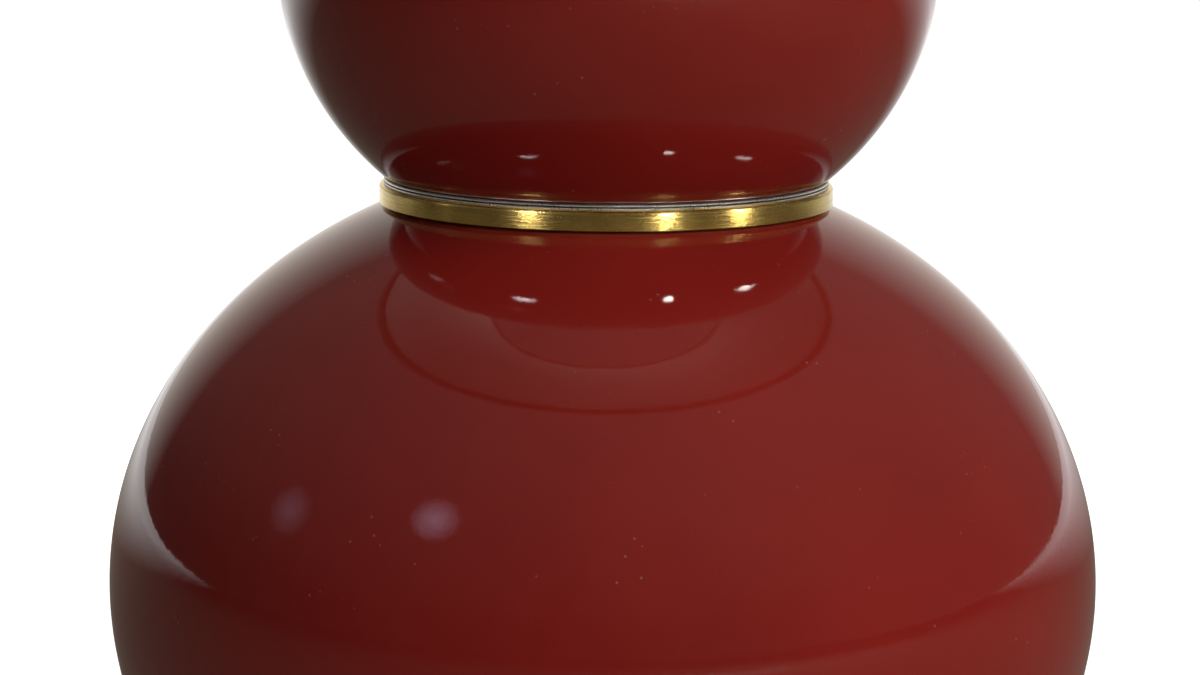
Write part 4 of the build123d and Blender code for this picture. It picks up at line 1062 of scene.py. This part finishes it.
floor_mesh = bpy.data.meshes.new("floor")
half_floor = 9
floor_mesh.from_pydata(
    [
        (-half_floor, -half_floor, 0),
        (half_floor, -half_floor, 0),
        (half_floor, half_floor, 0),
        (-half_floor, half_floor, 0),
    ],
    [],
    [(0, 1, 2, 3)],
)
floor = bpy.data.objects.new("floor", floor_mesh)
scene.collection.objects.link(floor)
paper, tree, shader = finish_named("pale floor", Roughness=0.9, Specular_IOR_Level=0.1)
path = add(tree, "ShaderNodeLightPath").outputs
depth = add(tree, "ShaderNodeSeparateXYZ", {"Vector": object_place(tree)}).outputs["Y"]
# Near and in front of the lamp the floor is painted dark brown for reflections, a painted
# reflection of a dim room; farther behind, it glows white in reflections, a painted bright
# surround. To bounced light it is grey. To the camera it glows white, less near the lamp so
# that the lamp's shadow shows.
front = ramp(tree, depth, 2.4, 0.7)
in_gloss = math(tree, "MULTIPLY", front, path["Is Glossy Ray"])
paper_colour = mix(tree, path["Is Diffuse Ray"], (0.78, 0.77, 0.75, 1), (0.36, 0.35, 0.34, 1))
feed(tree, shader, Base_Color=mix(tree, in_gloss, paper_colour, (0.2, 0.17, 0.14, 1)))
seen = math(tree, "MAXIMUM", path["Is Camera Ray"], path["Is Transmission Ray"])
back_gloss = math(
    tree, "MULTIPLY", path["Is Glossy Ray"], math(tree, "SUBTRACT", 1.0, front)
)
away = add(
    tree, "ShaderNodeVectorMath", {0: object_place(tree)}, operation="LENGTH"
).outputs["Value"]
shader.inputs["Emission Color"].default_value = (1, 1, 1, 1)
feed(
    tree,
    shader,
    Emission_Strength=math(
        tree,
        "MULTIPLY",
        math(tree, "MAXIMUM", seen, back_gloss),
        ramp(tree, away, 0.3, 0.9, 0.45, 0.92),
    ),
)
floor_mesh.materials.append(paper)

world = bpy.data.worlds.new("surround")
scene.world = world
world.use_nodes = True
tree = world.node_tree
path = add(tree, "ShaderNodeLightPath").outputs
toward = add(
    tree,
    "ShaderNodeSeparateXYZ",
    {"Vector": add(tree, "ShaderNodeTexCoord").outputs["Generated"]},
).outputs
behind = ramp(tree, toward["Y"], 0.7, 1.0, 0.05, 1.0)
above = ramp(tree, toward["Z"], 0.1, 0.9, 0.0, 0.2)
right = ramp(tree, toward["X"], -0.2, 0.9, 0.0, 0.08)
gloss = math(tree, "ADD", behind, math(tree, "ADD", above, right))
diffuse_level = 0.14
level = math(
    tree,
    "ADD",
    math(tree, "MULTIPLY", path["Is Glossy Ray"], gloss),
    math(tree, "MULTIPLY", path["Is Diffuse Ray"], diffuse_level),
)
level = math(
    tree,
    "MAXIMUM",
    level,
    math(tree, "MAXIMUM", path["Is Camera Ray"], path["Is Transmission Ray"]),
)
backdrop = tree.nodes["Background"]
tint = mix(tree, path["Is Glossy Ray"], (1, 1, 1, 1), (1.0, 0.94, 0.85, 1))
tree.links.new(tint, backdrop.inputs["Color"])
tree.links.new(level, backdrop.inputs["Strength"])


beam_lift = 0.055


def lamp(name, azimuth, elevation, distance, size, radiance, colour, beam=None, aim=None):
    """An area lamp; azimuth turns from the camera's side to the right, seen from its aim.

    A lamp with a beam shows only in reflections. Without an aim of its own it hangs above
    the waist's line, so that its narrow beam misses the belly. The radiance becomes a
    power by the light's area, and a beam gives only its own share of it.
    """
    data = bpy.data.lights.new(name, "AREA")
    data.shape = "RECTANGLE"
    data.size, data.size_y = size
    data.color = colour
    data.energy = radiance * pi * size[0] * size[1]
    if beam:
        data.spread = radians(beam)
        data.energy *= radians(beam / 2) ** 2 / 3
    lifted = size[1] / 2 + beam_lift if beam else 0
    aim = Vector(aim or (0, 0, band_low + lifted))
    lit = bpy.data.objects.new(name, data)
    scene.collection.objects.link(lit)
    turn, rise = radians(azimuth), radians(elevation)
    out = Vector((sin(turn) * cos(rise), -cos(turn) * cos(rise), sin(rise)))
    lit.matrix_world = Matrix.Translation(aim + out * distance) @ out.to_track_quat(
        "Z", "Y"
    ).to_matrix().to_4x4()
    lit.visible_glossy = bool(beam)
    lit.visible_diffuse = not beam
    lit.visible_camera = False
    return lit


# where the two violet patches lie on the lower gourd
patch_left, patch_far_left = (-0.0429, -0.1278, 0.1871), (-0.0818, -0.1084, 0.1849)
VIOLET = (0.85, 0.72, 1.0)
lamp("soft key", 48, 30, 2.2, (1.8, 1.4), 6.0, (1.0, 0.97, 0.93))
lamp("soft back", -155, 35, 2.4, (1.8, 1.4), 4.0, (1.0, 0.98, 0.96))
lamp("soft low", 25, -6, 1.7, (0.9, 0.3), 9.0, (1.0, 0.96, 0.92))
lamp("spot right", 29, 8, 1.0, (0.06, 0.12), 1500, (1.0, 0.97, 0.9), beam=15)
lamp("window left", -39, 13, 1.0, (0.28, 0.26), 420, (0.97, 0.96, 1.0), beam=15)
lamp("patch right", 71, 9, 1.0, (0.32, 0.26), 420, (1.0, 0.96, 0.9), beam=15)
lamp("window far left", -90, 12, 1.0, (0.34, 0.24), 14, (1.0, 0.98, 0.94), beam=15)
lamp("violet left", -44.0, 33.0, 1.2, (0.4, 0.4), 2.2, VIOLET, 12, patch_left)
lamp("violet far left", -82.6, 21.9, 1.2, (0.3, 0.5), 0.7, VIOLET, 12, patch_far_left)

camera = bpy.data.objects.new("camera", bpy.data.cameras.new("camera"))
scene.collection.objects.link(camera)
# fitted to the outlines in the photograph; looks down by its pitch, in radians
camera_place, camera_pitch, camera_roll = (-0.0014, -0.8893, 0.3669), 0.172, 0.009
camera.data.lens, camera.data.sensor_width = 92.18, 36
camera.data.clip_start, camera.data.clip_end = 0.05, 60
camera.matrix_world = (
    Matrix.Translation(camera_place)
    @ Matrix.Rotation(radians(90) - camera_pitch, 4, "X")
    @ Matrix.Rotation(camera_roll, 4, "Z")
)
scene.camera = camera
